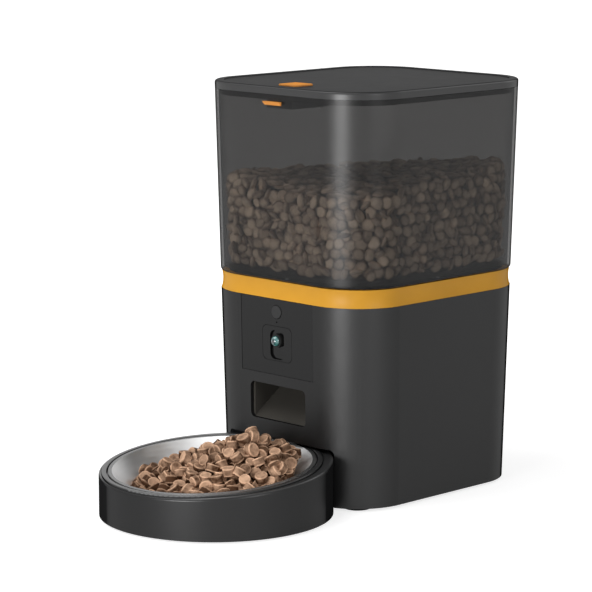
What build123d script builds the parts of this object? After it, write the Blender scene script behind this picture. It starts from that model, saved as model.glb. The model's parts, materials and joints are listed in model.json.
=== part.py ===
"""Automatic pet feeder with a camera: base, lift-off hopper, hinged lid, bowl tray and bowl.

Millimetres, +Z up, front faces -Y. The origin lies on the floor, midway between the tray's
front and the lid hinge's rear. Heights are above the floor. The y values of the body are
counted from the body's own upright axis, which stands at BODY_Y.
"""
from build123d import *
from math import atan, cos, degrees, pi, radians, sin, sqrt, tan
import os

os.makedirs("parts", exist_ok=True)

# Body: a rounded block that widens upward, in three storeys
FLOOR_HALF_WIDTH = 80.9
FLOOR_HALF_DEPTH = 91.8
CORNER_RADIUS = 42.3
DRAFT_DEG = 1.15
WALL = 2.6
FOOT_HEIGHT = 2.0
BASE_TOP = 150.0
BELT_HEIGHT = 13.3
HOPPER_HEIGHT = 136.3
HOPPER_EDGE_RADIUS = 2.0
LID_HEIGHT = 5.7
SKIN_GAP = 0.3
RUN_GAP = 0.05
CUT_OVER = 1.0

# Bowl tray in front of the base, and the bowl that lies tilted in it
TRAY_RADIUS = 84.7
TRAY_FORWARD = 155.4
TRAY_WALL = 2.5
TRAY_PAD_HEIGHT = 1.2
TRAY_PAD_RADIUS = 7.0
TRAY_PAD_INSET = 22.7
TRAY_EDGE_RADIUS = 2.2
BOWL_AHEAD = 3.95
BOWL_HEIGHT = 37.7
BOWL_SLOPE = 0.0731
LIP_INSET = 4.7
LIP_WIDTH = 4.0
LIP_RISE = 1.3
LIP_ROUND = 1.1
LIP_GAP = 1.0
LIP_GAP_DEPTH = 1.2
LIP_GROOVE_WIDTH = 0.7
LIP_GROOVE_DEPTH = 0.5
BOWL_FLANGE_WIDTH = 1.4
BOWL_WALL_REACH = 24.5
BOWL_DEPTH = 27.0
BOWL_SHEET = 0.9
BOWL_BEND = 12.0
BOWL_SEAT_GAP = 0.2
BOWL_WELL_GAP = 0.5
DOCK_GAP = 0.8
DOCK_EDGE_RADIUS = 4.0
DOCK_TOP = 44.9
DOCK_LINER_WALL = 2.0

# Front face: window panel, camera, feed button and food outlet
WINDOW_WIDTH = 74.6
WINDOW_LOW = 93.2
PANEL_RECESS = 0.25
PANEL_FIT = 0.2
PANEL_FLANGE = 4.0
PANEL_FLANGE_THICK = 1.5
CAMERA_HEIGHT = 116.8
CAMERA_WIDTH = 30.0
CAMERA_TALL = 25.6
CAMERA_CORNER = 4.5
CAMERA_FIT = 0.25
CAMERA_RECESS_WIDTH = 14.4
CAMERA_RECESS_TALL = 21.6
CAMERA_RECESS_DROP = 1.0
CAMERA_RECESS_DEPTH = 1.6
LENS_HEIGHT = 119.0
LENS_RADIUS = 4.0
LENS_DOME = 3.6
LENS_PROUD = 1.0
BARREL_RADIUS = 5.0
BARREL_LENGTH = 11.6
SENSOR_SIZE = 10.0
SENSOR_THICK = 2.0
CAMERA_POST_RADIUS = 1.8
BOARD_THICK = 1.2
BUTTON_HEIGHT = 140.4
BUTTON_RADIUS = 4.85
BUTTON_PROUD = 0.6
BUTTON_FLANGE_RADIUS = 6.4
BUTTON_FLANGE_THICK = 1.0
BUTTON_TRAVEL = 1.0
BUTTON_STEM_RADIUS = 1.5
BUTTON_STEM_LENGTH = 2.6
SWITCH_SIZE = 6.0
SWITCH_THICK = 3.5
FRONT_BOARD_WIDTH = 30.0
FRONT_BOARD_TALL = 11.0
FRONT_POST_X = 11.5
FRONT_POST_RADIUS = 2.0
MICROPHONE_HEIGHT = 132.8
MICROPHONE_RADIUS = 0.6
OUTLET_WIDTH = 57.2
OUTLET_LOW = 58.3
OUTLET_TALL = 27.1
OUTLET_CORNER = 4.0

# Inside the base
PLATE_THICK = 3.0
COLUMN_X = 61.0
COLUMN_Y = 71.0
COLUMN_RADIUS = 5.0
COLUMN_RIB = 3.0
COLUMN_RIB_LENGTH = 30.0
COLUMN_RIB_SHIFT = 6.6
DIAGONAL_DEG = 45.0
FOOT_RADIUS = 10.0
FOOT_INSET = 13.5
SCREW_HEAD_RADIUS = 3.0
SCREW_HEAD_TALL = 1.8
SCREW_RADIUS = 1.25
SCREW_LENGTH = 10.0
SCREW_HOLE_GAP = 0.25
DECK_LOW = 100.0
DECK_THICK = 3.0
COLLAR_GAP = 0.6
COLLAR_WALL = 2.5
COLLAR_TALL = 3.0
CAMERA_BAY_WIDTH = 88.0
CAMERA_BAY_BACK = 63.0
BELT_INSET_LOW = 0.4
BELT_INSET_MID = 1.5
BELT_INSET_HIGH = 0.9
BELT_DEPTH = 6.5
BELT_SKIRT = 3.0
BELT_SKIRT_INSET = 4.3

# Hopper floor, portion drum and rotor
FUNNEL_INSET = 16.0
FUNNEL_EDGE_INSET = 7.0
FUNNEL_FLANGE = 3.0
FUNNEL_WALL = 2.0
FUNNEL_MOUTH_CORNER = 32.0
DRUM_TOP = 134.0
DRUM_RADIUS = 57.0
DRUM_FLOOR = 2.7
DRUM_MOUTH_FLAT = 2.0
DRUM_MOUTH_STEP = 2.0
DRUM_LIFT = 0.3
DROP_INNER = 32.0
DROP_OUTER = 55.5
DROP_HALF_ANGLE = 26.0
SHIELD_HALF_ANGLE = 38.0
SHIELD_INNER = 11.0
SHIELD_THICK = 2.0
SHIELD_TOP = 133.0
SHAFT_HOLE_RADIUS = 7.0
ROTOR_RADIUS = 56.0
ROTOR_GAP = 0.4
ROTOR_TALL = 23.0
ROTOR_HUB_RADIUS = 9.0
ROTOR_VANES = 6
ROTOR_VANE_THICK = 2.4
ROTOR_SOCKET_GAP = 0.3
STIRRER_RADIUS = 34.0
STIRRER_WIDTH = 5.0
STIRRER_THICK = 4.0
STIRRER_HUB_RADIUS = 7.0
STIRRER_RISE = 4.5

# Gear train under the deck
MODULE = 0.8
PRESSURE_DEG = 20.0
ADDENDUM = 0.75
DEDENDUM = 1.15
FLANK_CLEARANCE = 0.10
OUTPUT_TEETH = 48
IDLER_SMALL_TEETH = 12
IDLER_LARGE_TEETH = 40
MOTOR_TEETH = 12
CASE_LOW = 84.0
CASE_WALL = 2.0
CASE_CORNER = 8.0
CASE_HALF_DEPTH = 24.0
CASE_RIGHT = 25.0
CASE_LEFT = 62.0
OUTPUT_GEAR_LOW = 88.0
OUTPUT_GEAR_THICK = 6.0
IDLER_LOW = 87.5
IDLER_LARGE_LOW = 95.2
IDLER_LARGE_THICK = 3.5
MOTOR_PINION_LOW = 94.6
MOTOR_PINION_THICK = 4.6
AXLE_RADIUS = 1.5
DRIVE_SHAFT_RADIUS = 4.0
DRIVE_SHAFT_TOP = 105.0
DRIVE_DOG_TOP = 117.0
DOG_SIDES = 6
BUSH_RADIUS = 6.0
BUSH_TALL = 5.0
MOTOR_RADIUS = 14.0
MOTOR_LOW = 44.0
MOTOR_CAP_TALL = 5.0
MOTOR_SHAFT_LOW = 60.0

# Food chute from the drum to the outlet
CHUTE_HALF_WIDTH = 27.0
CHUTE_WALL = 2.0
CHUTE_MOUTH = 90.0
CHUTE_BACK = 30.5
CHUTE_FRONT = 57.5
CHUTE_SILL = 0.6
FOOD_SENSOR_SIZE = 6.0
FOOD_SENSOR_Y = -66.0
FOOD_SENSOR_HEIGHT = 80.0

# Electronics, battery compartment, power inlet and speaker at the back
MAIN_BOARD_WIDTH = 90.0
MAIN_BOARD_DEPTH = 56.0
MAIN_BOARD_Y = 5.0
MAIN_BOARD_LOW = 17.0
MAIN_POST_X = 40.0
MAIN_POST_Y = 23.0
MAIN_POST_RADIUS = 3.0
WIRELESS_WIDTH = 18.0
WIRELESS_DEPTH = 25.0
WIRELESS_THICK = 3.2
CONNECTOR_WIDTH = 8.0
CONNECTOR_DEPTH = 6.0
CONNECTOR_TALL = 7.0
CONNECTOR_PITCH = 14.0
BATTERY_WIDTH = 62.0
BATTERY_TALL = 54.0
BATTERY_LOW = 24.0
BATTERY_DEEP = 18.0
BATTERY_WALL = 1.6
BATTERY_MOUTH_GAP = 0.3
BATTERY_CELLS = 4
BATTERY_CONTACT_WIDTH = 9.0
BATTERY_CONTACT_THICK = 0.6
BATTERY_DOOR_FIT = 0.4
BATTERY_DOOR_THICK = 2.2
DOOR_GRIP_RADIUS = 9.0
DOOR_PIN_RADIUS = 0.7
DOOR_PIN_LENGTH = 1.6
INLET_X = 22.0
INLET_HEIGHT = 12.6
INLET_WIDTH = 13.0
INLET_TALL = 8.0
INLET_DEEP = 10.0
INLET_SLOT_WIDTH = 9.2
INLET_SLOT_TALL = 3.6
INLET_SLOT_DEEP = 7.0
INLET_HOLE_MARGIN = 1.0
INLET_TONGUE_WIDTH = 6.6
INLET_TONGUE_TALL = 0.8
INLET_TONGUE_LENGTH = 5.0
SPEAKER_HEIGHT = 124.0
SPEAKER_RADIUS = 17.0
SPEAKER_RIM = 3.0
SPEAKER_MAGNET_RADIUS = 10.0
SPEAKER_MAGNET_TALL = 6.0
GRILLE_HOLE_RADIUS = 1.3
GRILLE_RINGS = 3
GRILLE_FIRST_RING = 6
GRILLE_PITCH = 4.4

# Lid, its hinge, its lock and the drying-agent pot
LID_GAP = 0.2
LID_PLATE = 2.6
LID_EDGE_RADIUS = 1.8
LID_DISH_INSET = 7.0
LID_DISH_DEPTH = 0.6
PLUG_INSET = 3.8
PLUG_WALL = 2.2
PLUG_DEPTH = 4.5
SEAL_THICK = 0.7
SEAL_TALL = 2.0
SEAL_DROP = 1.6
HINGE_OUT = 3.6
HINGE_RADIUS = 3.2
HINGE_PIN_RADIUS = 1.5
HINGE_EAR_INNER = 24.0
HINGE_EAR_OUTER = 34.0
HINGE_SIDE_GAP = 0.5
HINGE_ROOT = 2.0
LID_BUTTON_SIZE = 18.2
LID_BUTTON_CORNER = 1.5
LID_BUTTON_INSET = 23.2
LID_BUTTON_PROUD = 1.2
LID_BUTTON_GAP = 0.35
LID_BUTTON_LIP = 1.0
LID_BUTTON_LIP_THICK = 1.1
LID_BUTTON_TRAVEL = 2.0
LID_BUTTON_STEM_HALF = 3.5
LATCH_RATIO = 1.2
BOLT_DROP = 10.4
BOLT_THICK = 1.5
BOLT_WIDTH = 10.4
BOLT_TIP_GAP = 1.2
BOLT_BEHIND = 8.6
RAMP_AHEAD = 5.4
RAMP_BEHIND = 3.6
RAMP_TALL = 5.0
RAMP_HALF = 3.5
CAM_GAP = 0.5
STEM_BEHIND = 6.6
STEM_CLEAR = 2.4
LATCH_SLOT_GAP = 0.3
LATCH_CAP_WIDTH = 16.8
LATCH_CAP_DROP = 7.6
LATCH_CAP_TALL = 2.7
LATCH_CAP_REACH = 3.1
LATCH_CAP_FOOT = 0.4
SPRING_RADIUS = 2.0
SPRING_WIRE = 0.5
SPRING_LENGTH = 6.4
SPRING_DROP = 6.3
TUB_HALF_WIDTH = 13.0
TUB_AHEAD = 16.6
TUB_BEHIND = 20.6
TUB_WALL = 2.0
TUB_DEEP = 13.6
TUB_BOSS_X = 8.4
TUB_BOSS_BEHIND = 14.6
TUB_BOSS_RADIUS = 2.4
TUB_SCREW_RADIUS = 1.0
TUB_SCREW_HEAD_RADIUS = 1.9
TUB_SCREW_HEAD_TALL = 1.2
TUB_SCREW_LENGTH = 7.0
POT_Y = 12.0
POT_RADIUS = 27.0
POT_WALL = 1.6
POT_DEEP = 14.4
POT_CAP_GAP = 0.3
POT_CAP_THICK = 2.2
POT_GRIP_TALL = 3.0
POT_GRIP_LENGTH = 34.0
POT_GRIP_WIDTH = 4.0
POT_SLOTS = 12
POT_SLOT_RING = 16.5
POT_SLOT_LENGTH = 9.0
POT_SLOT_WIDTH = 2.2

# Levels and places that follow from the sizes above
DRAFT = tan(radians(DRAFT_DEG))
HOPPER_BOTTOM = BASE_TOP + BELT_HEIGHT
HOPPER_TOP = HOPPER_BOTTOM + HOPPER_HEIGHT
LID_BOTTOM = HOPPER_TOP + LID_GAP
LID_TOP = HOPPER_TOP + LID_HEIGHT + LID_GAP
LID_UNDERSIDE = LID_TOP - LID_PLATE
LID_SURFACE = LID_TOP - LID_DISH_DEPTH
BOLT_LOW = LID_UNDERSIDE - BOLT_DROP
SPRING_HEIGHT = LID_UNDERSIDE - SPRING_DROP
TUB_LOW = LID_UNDERSIDE - TUB_DEEP
POT_LOW = LID_UNDERSIDE - POT_DEEP
LATCH_CAP_LOW = HOPPER_TOP - LATCH_CAP_DROP
PLATE_TOP = FOOT_HEIGHT + PLATE_THICK
DECK_TOP = DECK_LOW + DECK_THICK
DRUM_LOW = DECK_TOP + DRUM_LIFT
DRUM_FLOOR_TOP = DRUM_LOW + DRUM_FLOOR
ROTOR_LOW = DRUM_FLOOR_TOP + ROTOR_GAP
ROTOR_TOP = ROTOR_LOW + ROTOR_TALL
IDLER_X = -MODULE * (OUTPUT_TEETH + IDLER_SMALL_TEETH) / 2
MOTOR_X = IDLER_X - MODULE * (IDLER_LARGE_TEETH + MOTOR_TEETH) / 2
CASE_FLOOR = CASE_LOW + CASE_WALL
BOWL_TILT_DEG = degrees(atan(BOWL_SLOPE))
BOWL_FORWARD = TRAY_FORWARD + BOWL_AHEAD
LIP_RADIUS = TRAY_RADIUS - LIP_INSET
LIP_INNER_RADIUS = LIP_RADIUS - LIP_WIDTH
BOWL_FLANGE_RADIUS = LIP_INNER_RADIUS - LIP_GAP
BOWL_MOUTH_RADIUS = BOWL_FLANGE_RADIUS - BOWL_FLANGE_WIDTH
BOWL_FLOOR_RADIUS = BOWL_MOUTH_RADIUS - BOWL_WALL_REACH
TRAY_PAD_RING = TRAY_RADIUS - TRAY_PAD_INSET


def half_width(height):
    """Half of the body's width at a height."""
    return FLOOR_HALF_WIDTH + height * DRAFT


def half_depth(height):
    """Half of the body's depth at a height."""
    return FLOOR_HALF_DEPTH + height * DRAFT


# Places of the lid lock, counted forward from the body's axis
LOCK_FORWARD = half_depth(HOPPER_TOP) - LID_BUTTON_INSET
LID_BUTTON_Y = -LOCK_FORWARD
BOLT_BACK = LOCK_FORWARD - BOLT_BEHIND
RAMP_FRONT = LOCK_FORWARD + RAMP_AHEAD
RAMP_FOOT = LOCK_FORWARD - RAMP_BEHIND
STEM_BACK = LOCK_FORWARD - STEM_BEHIND
TUB_FRONT = LOCK_FORWARD + TUB_AHEAD
TUB_BACK = LOCK_FORWARD - TUB_BEHIND
TUB_BOSS_Y = TUB_BOSS_BEHIND - LOCK_FORWARD
HINGE_Y = half_depth(HOPPER_TOP) + HINGE_OUT
BODY_Y = (TRAY_FORWARD + TRAY_RADIUS - HINGE_Y - HINGE_RADIUS) / 2

# Axis of the battery door's hinge pins: half the door's thickness in from its face and lower edge
DOOR_HALF_THICK = BATTERY_DOOR_THICK / 2
DOOR_PIN_RISE = BATTERY_DOOR_FIT + DOOR_HALF_THICK
DOOR_LEAN = radians(DRAFT_DEG)
DOOR_HINGE_Y = half_depth(BATTERY_LOW) + DOOR_PIN_RISE * sin(DOOR_LEAN) - DOOR_HALF_THICK * cos(DOOR_LEAN)
DOOR_HINGE_HEIGHT = BATTERY_LOW + DOOR_PIN_RISE * cos(DOOR_LEAN) + DOOR_HALF_THICK * sin(DOOR_LEAN)


def at(x, y, height):
    """Level plane at a place counted from the body's axis."""
    return Plane((x, BODY_Y + y, height))


def level(height):
    """Level plane centred on the body's axis."""
    return at(0, 0, height)


def profile_plane(x):
    """Upright plane across the body: its x runs to the back and its y runs up."""
    return Plane((x, BODY_Y, 0), x_dir=(0, 1, 0), z_dir=(1, 0, 0))


def front_plane(height, inset=0.0):
    """Plane that lies on the leaning front face, or inset from it; it faces outward."""
    outward = (0, -cos(radians(DRAFT_DEG)), -sin(radians(DRAFT_DEG)))
    origin = (0, BODY_Y - half_depth(height), height)
    return Plane(origin, x_dir=(1, 0, 0), z_dir=outward).offset(-inset)


def rear_plane(height, inset=0.0):
    """Plane that lies on the leaning rear face, or inset from it; it faces outward."""
    outward = (0, cos(radians(DRAFT_DEG)), -sin(radians(DRAFT_DEG)))
    origin = (0, BODY_Y + half_depth(height), height)
    return Plane(origin, x_dir=(-1, 0, 0), z_dir=outward).offset(-inset)


def section(height, inset=0.0):
    """Rounded rectangle of the body at a height, inset from the outer skin."""
    width = 2 * (half_width(height) - inset)
    depth = 2 * (half_depth(height) - inset)
    with BuildSketch(level(height)) as outline:
        RectangleRounded(width, depth, CORNER_RADIUS - inset)
    return outline.sketch


def corner_places(x, y):
    """Four places, one near each corner."""
    return [(x, y), (-x, y), (-x, -y), (x, -y)]


def gear_points(teeth, turn_deg=0.0):
    """Involute gear outline with thinned teeth; one tooth points along +X before the turn."""
    pitch = MODULE * teeth / 2
    base = pitch * cos(radians(PRESSURE_DEG))
    tip = pitch + ADDENDUM * MODULE
    root = pitch - DEDENDUM * MODULE
    half_tooth = pi / (2 * teeth) - FLANK_CLEARANCE / pitch
    pressure = radians(PRESSURE_DEG)
    lean = tan(pressure) - pressure
    start = max(base, root)
    radii = [start + (tip - start) * step / 3 for step in range(4)]
    flank = []
    for radius in radii:
        angle = sqrt(max((radius / base) ** 2 - 1, 0))
        flank.append((radius, half_tooth + lean - (angle - atan(angle))))
    if root < base:
        flank.insert(0, (root, flank[0][1]))
    points = []
    for tooth in range(teeth):
        centre = 2 * pi * tooth / teeth + radians(turn_deg)
        for radius, angle in flank:
            points.append((radius * cos(centre - angle), radius * sin(centre - angle)))
        for radius, angle in reversed(flank):
            points.append((radius * cos(centre + angle), radius * sin(centre + angle)))
    return points


def keep(part, name):
    """Label a finished piece and write it to its own file."""
    part.label = name
    export_step(part, f"parts/{name}.step")


# Space that the docked tray takes out of the base
with BuildPart() as dock_space:
    with BuildSketch(at(0, -TRAY_FORWARD, 0)):
        Circle(TRAY_RADIUS + DOCK_GAP)
    extrude(amount=DOCK_TOP)
    fillet(dock_space.edges().group_by(Axis.Z)[-1], DOCK_EDGE_RADIUS)

# Base shell: skin with window, outlet, dock notch, rear openings and four inner columns
with BuildPart() as base_shell:
    loft([section(FOOT_HEIGHT), section(BASE_TOP)])
    loft(
        [section(FOOT_HEIGHT - CUT_OVER, WALL), section(BASE_TOP + CUT_OVER, WALL)],
        mode=Mode.SUBTRACT,
    )
    with BuildSketch(level(PLATE_TOP)):
        for x, y in corner_places(COLUMN_X, COLUMN_Y):
            with Locations((x, y)):
                Circle(COLUMN_RADIUS)
        for x, y in corner_places(COLUMN_X + COLUMN_RIB_SHIFT, COLUMN_Y + COLUMN_RIB_SHIFT):
            rib_turn = DIAGONAL_DEG if x * y > 0 else -DIAGONAL_DEG
            with Locations(Location((x, y), rib_turn)):
                Rectangle(COLUMN_RIB_LENGTH, COLUMN_RIB)
    extrude(amount=DECK_LOW - PLATE_TOP)
    loft([section(FOOT_HEIGHT), section(BASE_TOP)], mode=Mode.INTERSECT)
    with BuildSketch(level(PLATE_TOP)):
        for x, y in corner_places(COLUMN_X, COLUMN_Y):
            with Locations((x, y)):
                Circle(SCREW_RADIUS + SCREW_HOLE_GAP)
    extrude(amount=DECK_LOW - PLATE_TOP, mode=Mode.SUBTRACT)
    with BuildSketch(Plane((0, BODY_Y, 0), x_dir=(1, 0, 0), z_dir=(0, -1, 0))):
        with Locations((0, (WINDOW_LOW + BASE_TOP + CUT_OVER) / 2)):
            Rectangle(WINDOW_WIDTH, BASE_TOP + CUT_OVER - WINDOW_LOW)
        with Locations((0, OUTLET_LOW + OUTLET_TALL / 2)):
            RectangleRounded(OUTLET_WIDTH, OUTLET_TALL, OUTLET_CORNER)
    extrude(amount=2 * FLOOR_HALF_DEPTH, mode=Mode.SUBTRACT)
    with BuildSketch(rear_plane(BATTERY_LOW)):
        with Locations((0, BATTERY_TALL / 2)):
            Rectangle(BATTERY_WIDTH, BATTERY_TALL)
    extrude(amount=-2 * WALL, mode=Mode.SUBTRACT)
    with BuildSketch(profile_plane(-BATTERY_WIDTH / 2 - DOOR_PIN_LENGTH)):
        with Locations((DOOR_HINGE_Y, DOOR_HINGE_HEIGHT)):
            Circle(DOOR_PIN_RADIUS + RUN_GAP)
    extrude(amount=BATTERY_WIDTH + 2 * DOOR_PIN_LENGTH, mode=Mode.SUBTRACT)
    with BuildSketch(rear_plane(INLET_HEIGHT)):
        with Locations((-INLET_X, 0)):
            RectangleRounded(
                INLET_SLOT_WIDTH + INLET_HOLE_MARGIN,
                INLET_SLOT_TALL + INLET_HOLE_MARGIN,
                INLET_SLOT_TALL / 2,
            )
    extrude(amount=-2 * WALL, mode=Mode.SUBTRACT)
    with BuildSketch(rear_plane(SPEAKER_HEIGHT)):
        Circle(GRILLE_HOLE_RADIUS)
        for ring in range(1, GRILLE_RINGS + 1):
            with PolarLocations(ring * GRILLE_PITCH, ring * GRILLE_FIRST_RING):
                Circle(GRILLE_HOLE_RADIUS)
    extrude(amount=-2 * WALL, mode=Mode.SUBTRACT)
    add(dock_space.part, mode=Mode.SUBTRACT)
keep(base_shell.part, "base_shell")

# Base plate that closes the base from below, with posts for the main board
with BuildPart() as base_plate:
    loft([section(FOOT_HEIGHT, WALL + SKIN_GAP), section(PLATE_TOP, WALL + SKIN_GAP)])
    with BuildSketch(level(PLATE_TOP)):
        for x, y in corner_places(MAIN_POST_X, MAIN_POST_Y):
            with Locations((x, y + MAIN_BOARD_Y)):
                Circle(MAIN_POST_RADIUS)
    extrude(amount=MAIN_BOARD_LOW - PLATE_TOP)
    with BuildSketch(level(FOOT_HEIGHT)):
        for x, y in corner_places(COLUMN_X, COLUMN_Y):
            with Locations((x, y)):
                Circle(SCREW_RADIUS + SCREW_HOLE_GAP)
    extrude(amount=PLATE_THICK, mode=Mode.SUBTRACT)
    with BuildSketch(level(FOOT_HEIGHT)):
        for x, y in corner_places(COLUMN_X, COLUMN_Y):
            with Locations((x, y)):
                Circle(SCREW_HEAD_RADIUS + SCREW_HOLE_GAP)
    extrude(amount=SCREW_HEAD_TALL, mode=Mode.SUBTRACT)
    add(dock_space.part, mode=Mode.SUBTRACT)
keep(base_plate.part, "base_plate")

# Liner that closes the dock off from the inside of the base
LINER_RADIUS = TRAY_RADIUS + DOCK_GAP + DOCK_LINER_WALL
LINER_TOP = DOCK_TOP + DOCK_LINER_WALL
LINER_INSET = WALL + SKIN_GAP
with BuildPart() as dock_liner:
    with BuildSketch(at(0, -TRAY_FORWARD, PLATE_TOP)):
        Circle(LINER_RADIUS)
    extrude(amount=LINER_TOP - PLATE_TOP)
    loft([section(PLATE_TOP, LINER_INSET), section(LINER_TOP, LINER_INSET)], mode=Mode.INTERSECT)
    add(dock_space.part, mode=Mode.SUBTRACT)
keep(dock_liner.part, "dock_liner")

# Rubber feet under the base's corners
FOOT_SHIFT = (CORNER_RADIUS - FOOT_INSET) * cos(radians(DIAGONAL_DEG)) - CORNER_RADIUS
FOOT_X = half_width(0) + FOOT_SHIFT
FOOT_Y = half_depth(0) + FOOT_SHIFT
with BuildPart() as feet:
    with BuildSketch(level(0)):
        for x, y in corner_places(FOOT_X, FOOT_Y):
            with Locations((x, y)):
                Circle(FOOT_RADIUS)
    extrude(amount=FOOT_HEIGHT)
keep(feet.part, "feet")

# Screws that hold the base plate, heads down in their seats
with BuildPart() as base_screws:
    with BuildSketch(level(FOOT_HEIGHT)):
        for x, y in corner_places(COLUMN_X, COLUMN_Y):
            with Locations((x, y)):
                Circle(SCREW_HEAD_RADIUS)
    extrude(amount=SCREW_HEAD_TALL)
    with BuildSketch(level(FOOT_HEIGHT)):
        for x, y in corner_places(COLUMN_X, COLUMN_Y):
            with Locations((x, y)):
                Circle(SCREW_RADIUS)
    extrude(amount=SCREW_HEAD_TALL + SCREW_LENGTH)
keep(base_screws.part, "base_screws")

# Belt ring: the coloured hollow band between base and hopper, with a skirt inside the base
with BuildPart() as belt_ring:
    loft(
        [
            section(BASE_TOP, BELT_INSET_LOW),
            section(BASE_TOP + BELT_HEIGHT / 2, BELT_INSET_MID),
            section(HOPPER_BOTTOM, BELT_INSET_HIGH),
        ]
    )
    loft([section(BASE_TOP - BELT_SKIRT, BELT_SKIRT_INSET), section(BASE_TOP, BELT_SKIRT_INSET)])
    loft(
        [
            section(BASE_TOP - BELT_SKIRT - CUT_OVER, BELT_DEPTH),
            section(HOPPER_BOTTOM + CUT_OVER, BELT_DEPTH),
        ],
        mode=Mode.SUBTRACT,
    )
keep(belt_ring.part, "belt_ring")

# Window panel, let into the front wall from behind
PANEL_FLANGE_INSET = WALL + RUN_GAP
PANEL_BACK = PANEL_FLANGE_INSET + PANEL_FLANGE_THICK
FRONT_BOARD_INSET = PANEL_BACK + SKIN_GAP + BUTTON_FLANGE_THICK + BUTTON_STEM_LENGTH
FRONT_BOARD_INSET += BUTTON_TRAVEL + SKIN_GAP + SWITCH_THICK
PANEL_LOW = WINDOW_LOW + PANEL_FIT
PANEL_HIGH = BASE_TOP - PANEL_FIT
with BuildPart() as front_panel:
    with BuildSketch(front_plane(PANEL_LOW, PANEL_FLANGE_INSET)):
        with Locations((0, (PANEL_HIGH - PANEL_LOW) / 2)):
            Rectangle(WINDOW_WIDTH - 2 * PANEL_FIT, PANEL_HIGH - PANEL_LOW)
    extrude(amount=PANEL_FLANGE_INSET - PANEL_RECESS)
    with BuildSketch(front_plane(PANEL_LOW, PANEL_FLANGE_INSET)):
        with Locations((0, (PANEL_HIGH - PANEL_LOW) / 2 - PANEL_FLANGE)):
            Rectangle(WINDOW_WIDTH + 2 * PANEL_FLANGE, PANEL_HIGH - PANEL_LOW)
    extrude(amount=-PANEL_FLANGE_THICK)
    with BuildSketch(front_plane(BUTTON_HEIGHT, PANEL_BACK)):
        with Locations((FRONT_POST_X, 0), (-FRONT_POST_X, 0)):
            Circle(FRONT_POST_RADIUS)
    extrude(amount=PANEL_BACK - FRONT_BOARD_INSET)
    with BuildSketch(front_plane(CAMERA_HEIGHT)):
        RectangleRounded(CAMERA_WIDTH + 2 * CAMERA_FIT, CAMERA_TALL + 2 * CAMERA_FIT, CAMERA_CORNER)
    extrude(amount=-2 * PANEL_BACK, mode=Mode.SUBTRACT)
    with BuildSketch(front_plane(BUTTON_HEIGHT)):
        Circle(BUTTON_RADIUS + SKIN_GAP)
    extrude(amount=-PANEL_BACK - RUN_GAP, mode=Mode.SUBTRACT)
    with BuildSketch(front_plane(MICROPHONE_HEIGHT)):
        Circle(MICROPHONE_RADIUS)
    extrude(amount=-PANEL_BACK - RUN_GAP, mode=Mode.SUBTRACT)
keep(front_panel.part, "front_panel")

# Camera bezel with its sunken eye field and four posts for the camera board
BEZEL_BACK = PANEL_BACK
LENS_SEAT = PANEL_RECESS - LENS_PROUD
SENSOR_INSET = LENS_SEAT + BARREL_LENGTH
CAMERA_BOARD_INSET = SENSOR_INSET + SENSOR_THICK
CAMERA_POST_X = CAMERA_WIDTH / 2 - 2 * CAMERA_POST_RADIUS
CAMERA_POST_Y = CAMERA_TALL / 2 - 2 * CAMERA_POST_RADIUS
with BuildPart() as camera_bezel:
    with BuildSketch(front_plane(CAMERA_HEIGHT, PANEL_RECESS)):
        RectangleRounded(CAMERA_WIDTH, CAMERA_TALL, CAMERA_CORNER)
    extrude(amount=PANEL_RECESS - BEZEL_BACK)
    with BuildSketch(front_plane(CAMERA_HEIGHT, BEZEL_BACK)):
        with Locations(corner_places(CAMERA_POST_X, CAMERA_POST_Y)):
            Circle(CAMERA_POST_RADIUS)
    extrude(amount=BEZEL_BACK - CAMERA_BOARD_INSET)
    with BuildSketch(front_plane(CAMERA_HEIGHT - CAMERA_RECESS_DROP, PANEL_RECESS)):
        RectangleRounded(CAMERA_RECESS_WIDTH, CAMERA_RECESS_TALL, CAMERA_CORNER)
    extrude(amount=-CAMERA_RECESS_DEPTH, mode=Mode.SUBTRACT)
    with BuildSketch(front_plane(LENS_HEIGHT)):
        Circle(BARREL_RADIUS + SKIN_GAP)
    extrude(amount=-2 * BEZEL_BACK, mode=Mode.SUBTRACT)
keep(camera_bezel.part, "camera_bezel")

# Lens barrel behind the bezel
with BuildPart() as lens_barrel:
    with BuildSketch(front_plane(LENS_HEIGHT, LENS_SEAT)):
        Circle(BARREL_RADIUS)
    extrude(amount=-BARREL_LENGTH)
keep(lens_barrel.part, "lens_barrel")

# Domed front lens on the barrel
LENS_BALL = (LENS_RADIUS**2 + LENS_DOME**2) / (2 * LENS_DOME)
with BuildPart() as camera_lens:
    with Locations(front_plane(LENS_HEIGHT, LENS_SEAT + LENS_BALL - LENS_DOME)):
        Sphere(LENS_BALL)
    split(bisect_by=front_plane(LENS_HEIGHT, LENS_SEAT), keep=Keep.TOP)
keep(camera_lens.part, "camera_lens")

# Image sensor and camera board behind the barrel
with BuildPart() as image_sensor:
    with BuildSketch(front_plane(LENS_HEIGHT, SENSOR_INSET)):
        Rectangle(SENSOR_SIZE, SENSOR_SIZE)
    extrude(amount=-SENSOR_THICK)
keep(image_sensor.part, "image_sensor")

with BuildPart() as camera_board:
    with BuildSketch(front_plane(CAMERA_HEIGHT, CAMERA_BOARD_INSET)):
        Rectangle(CAMERA_WIDTH - 2 * CAMERA_FIT, CAMERA_TALL - 2 * CAMERA_FIT)
    extrude(amount=-BOARD_THICK)
keep(camera_board.part, "camera_board")

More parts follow.
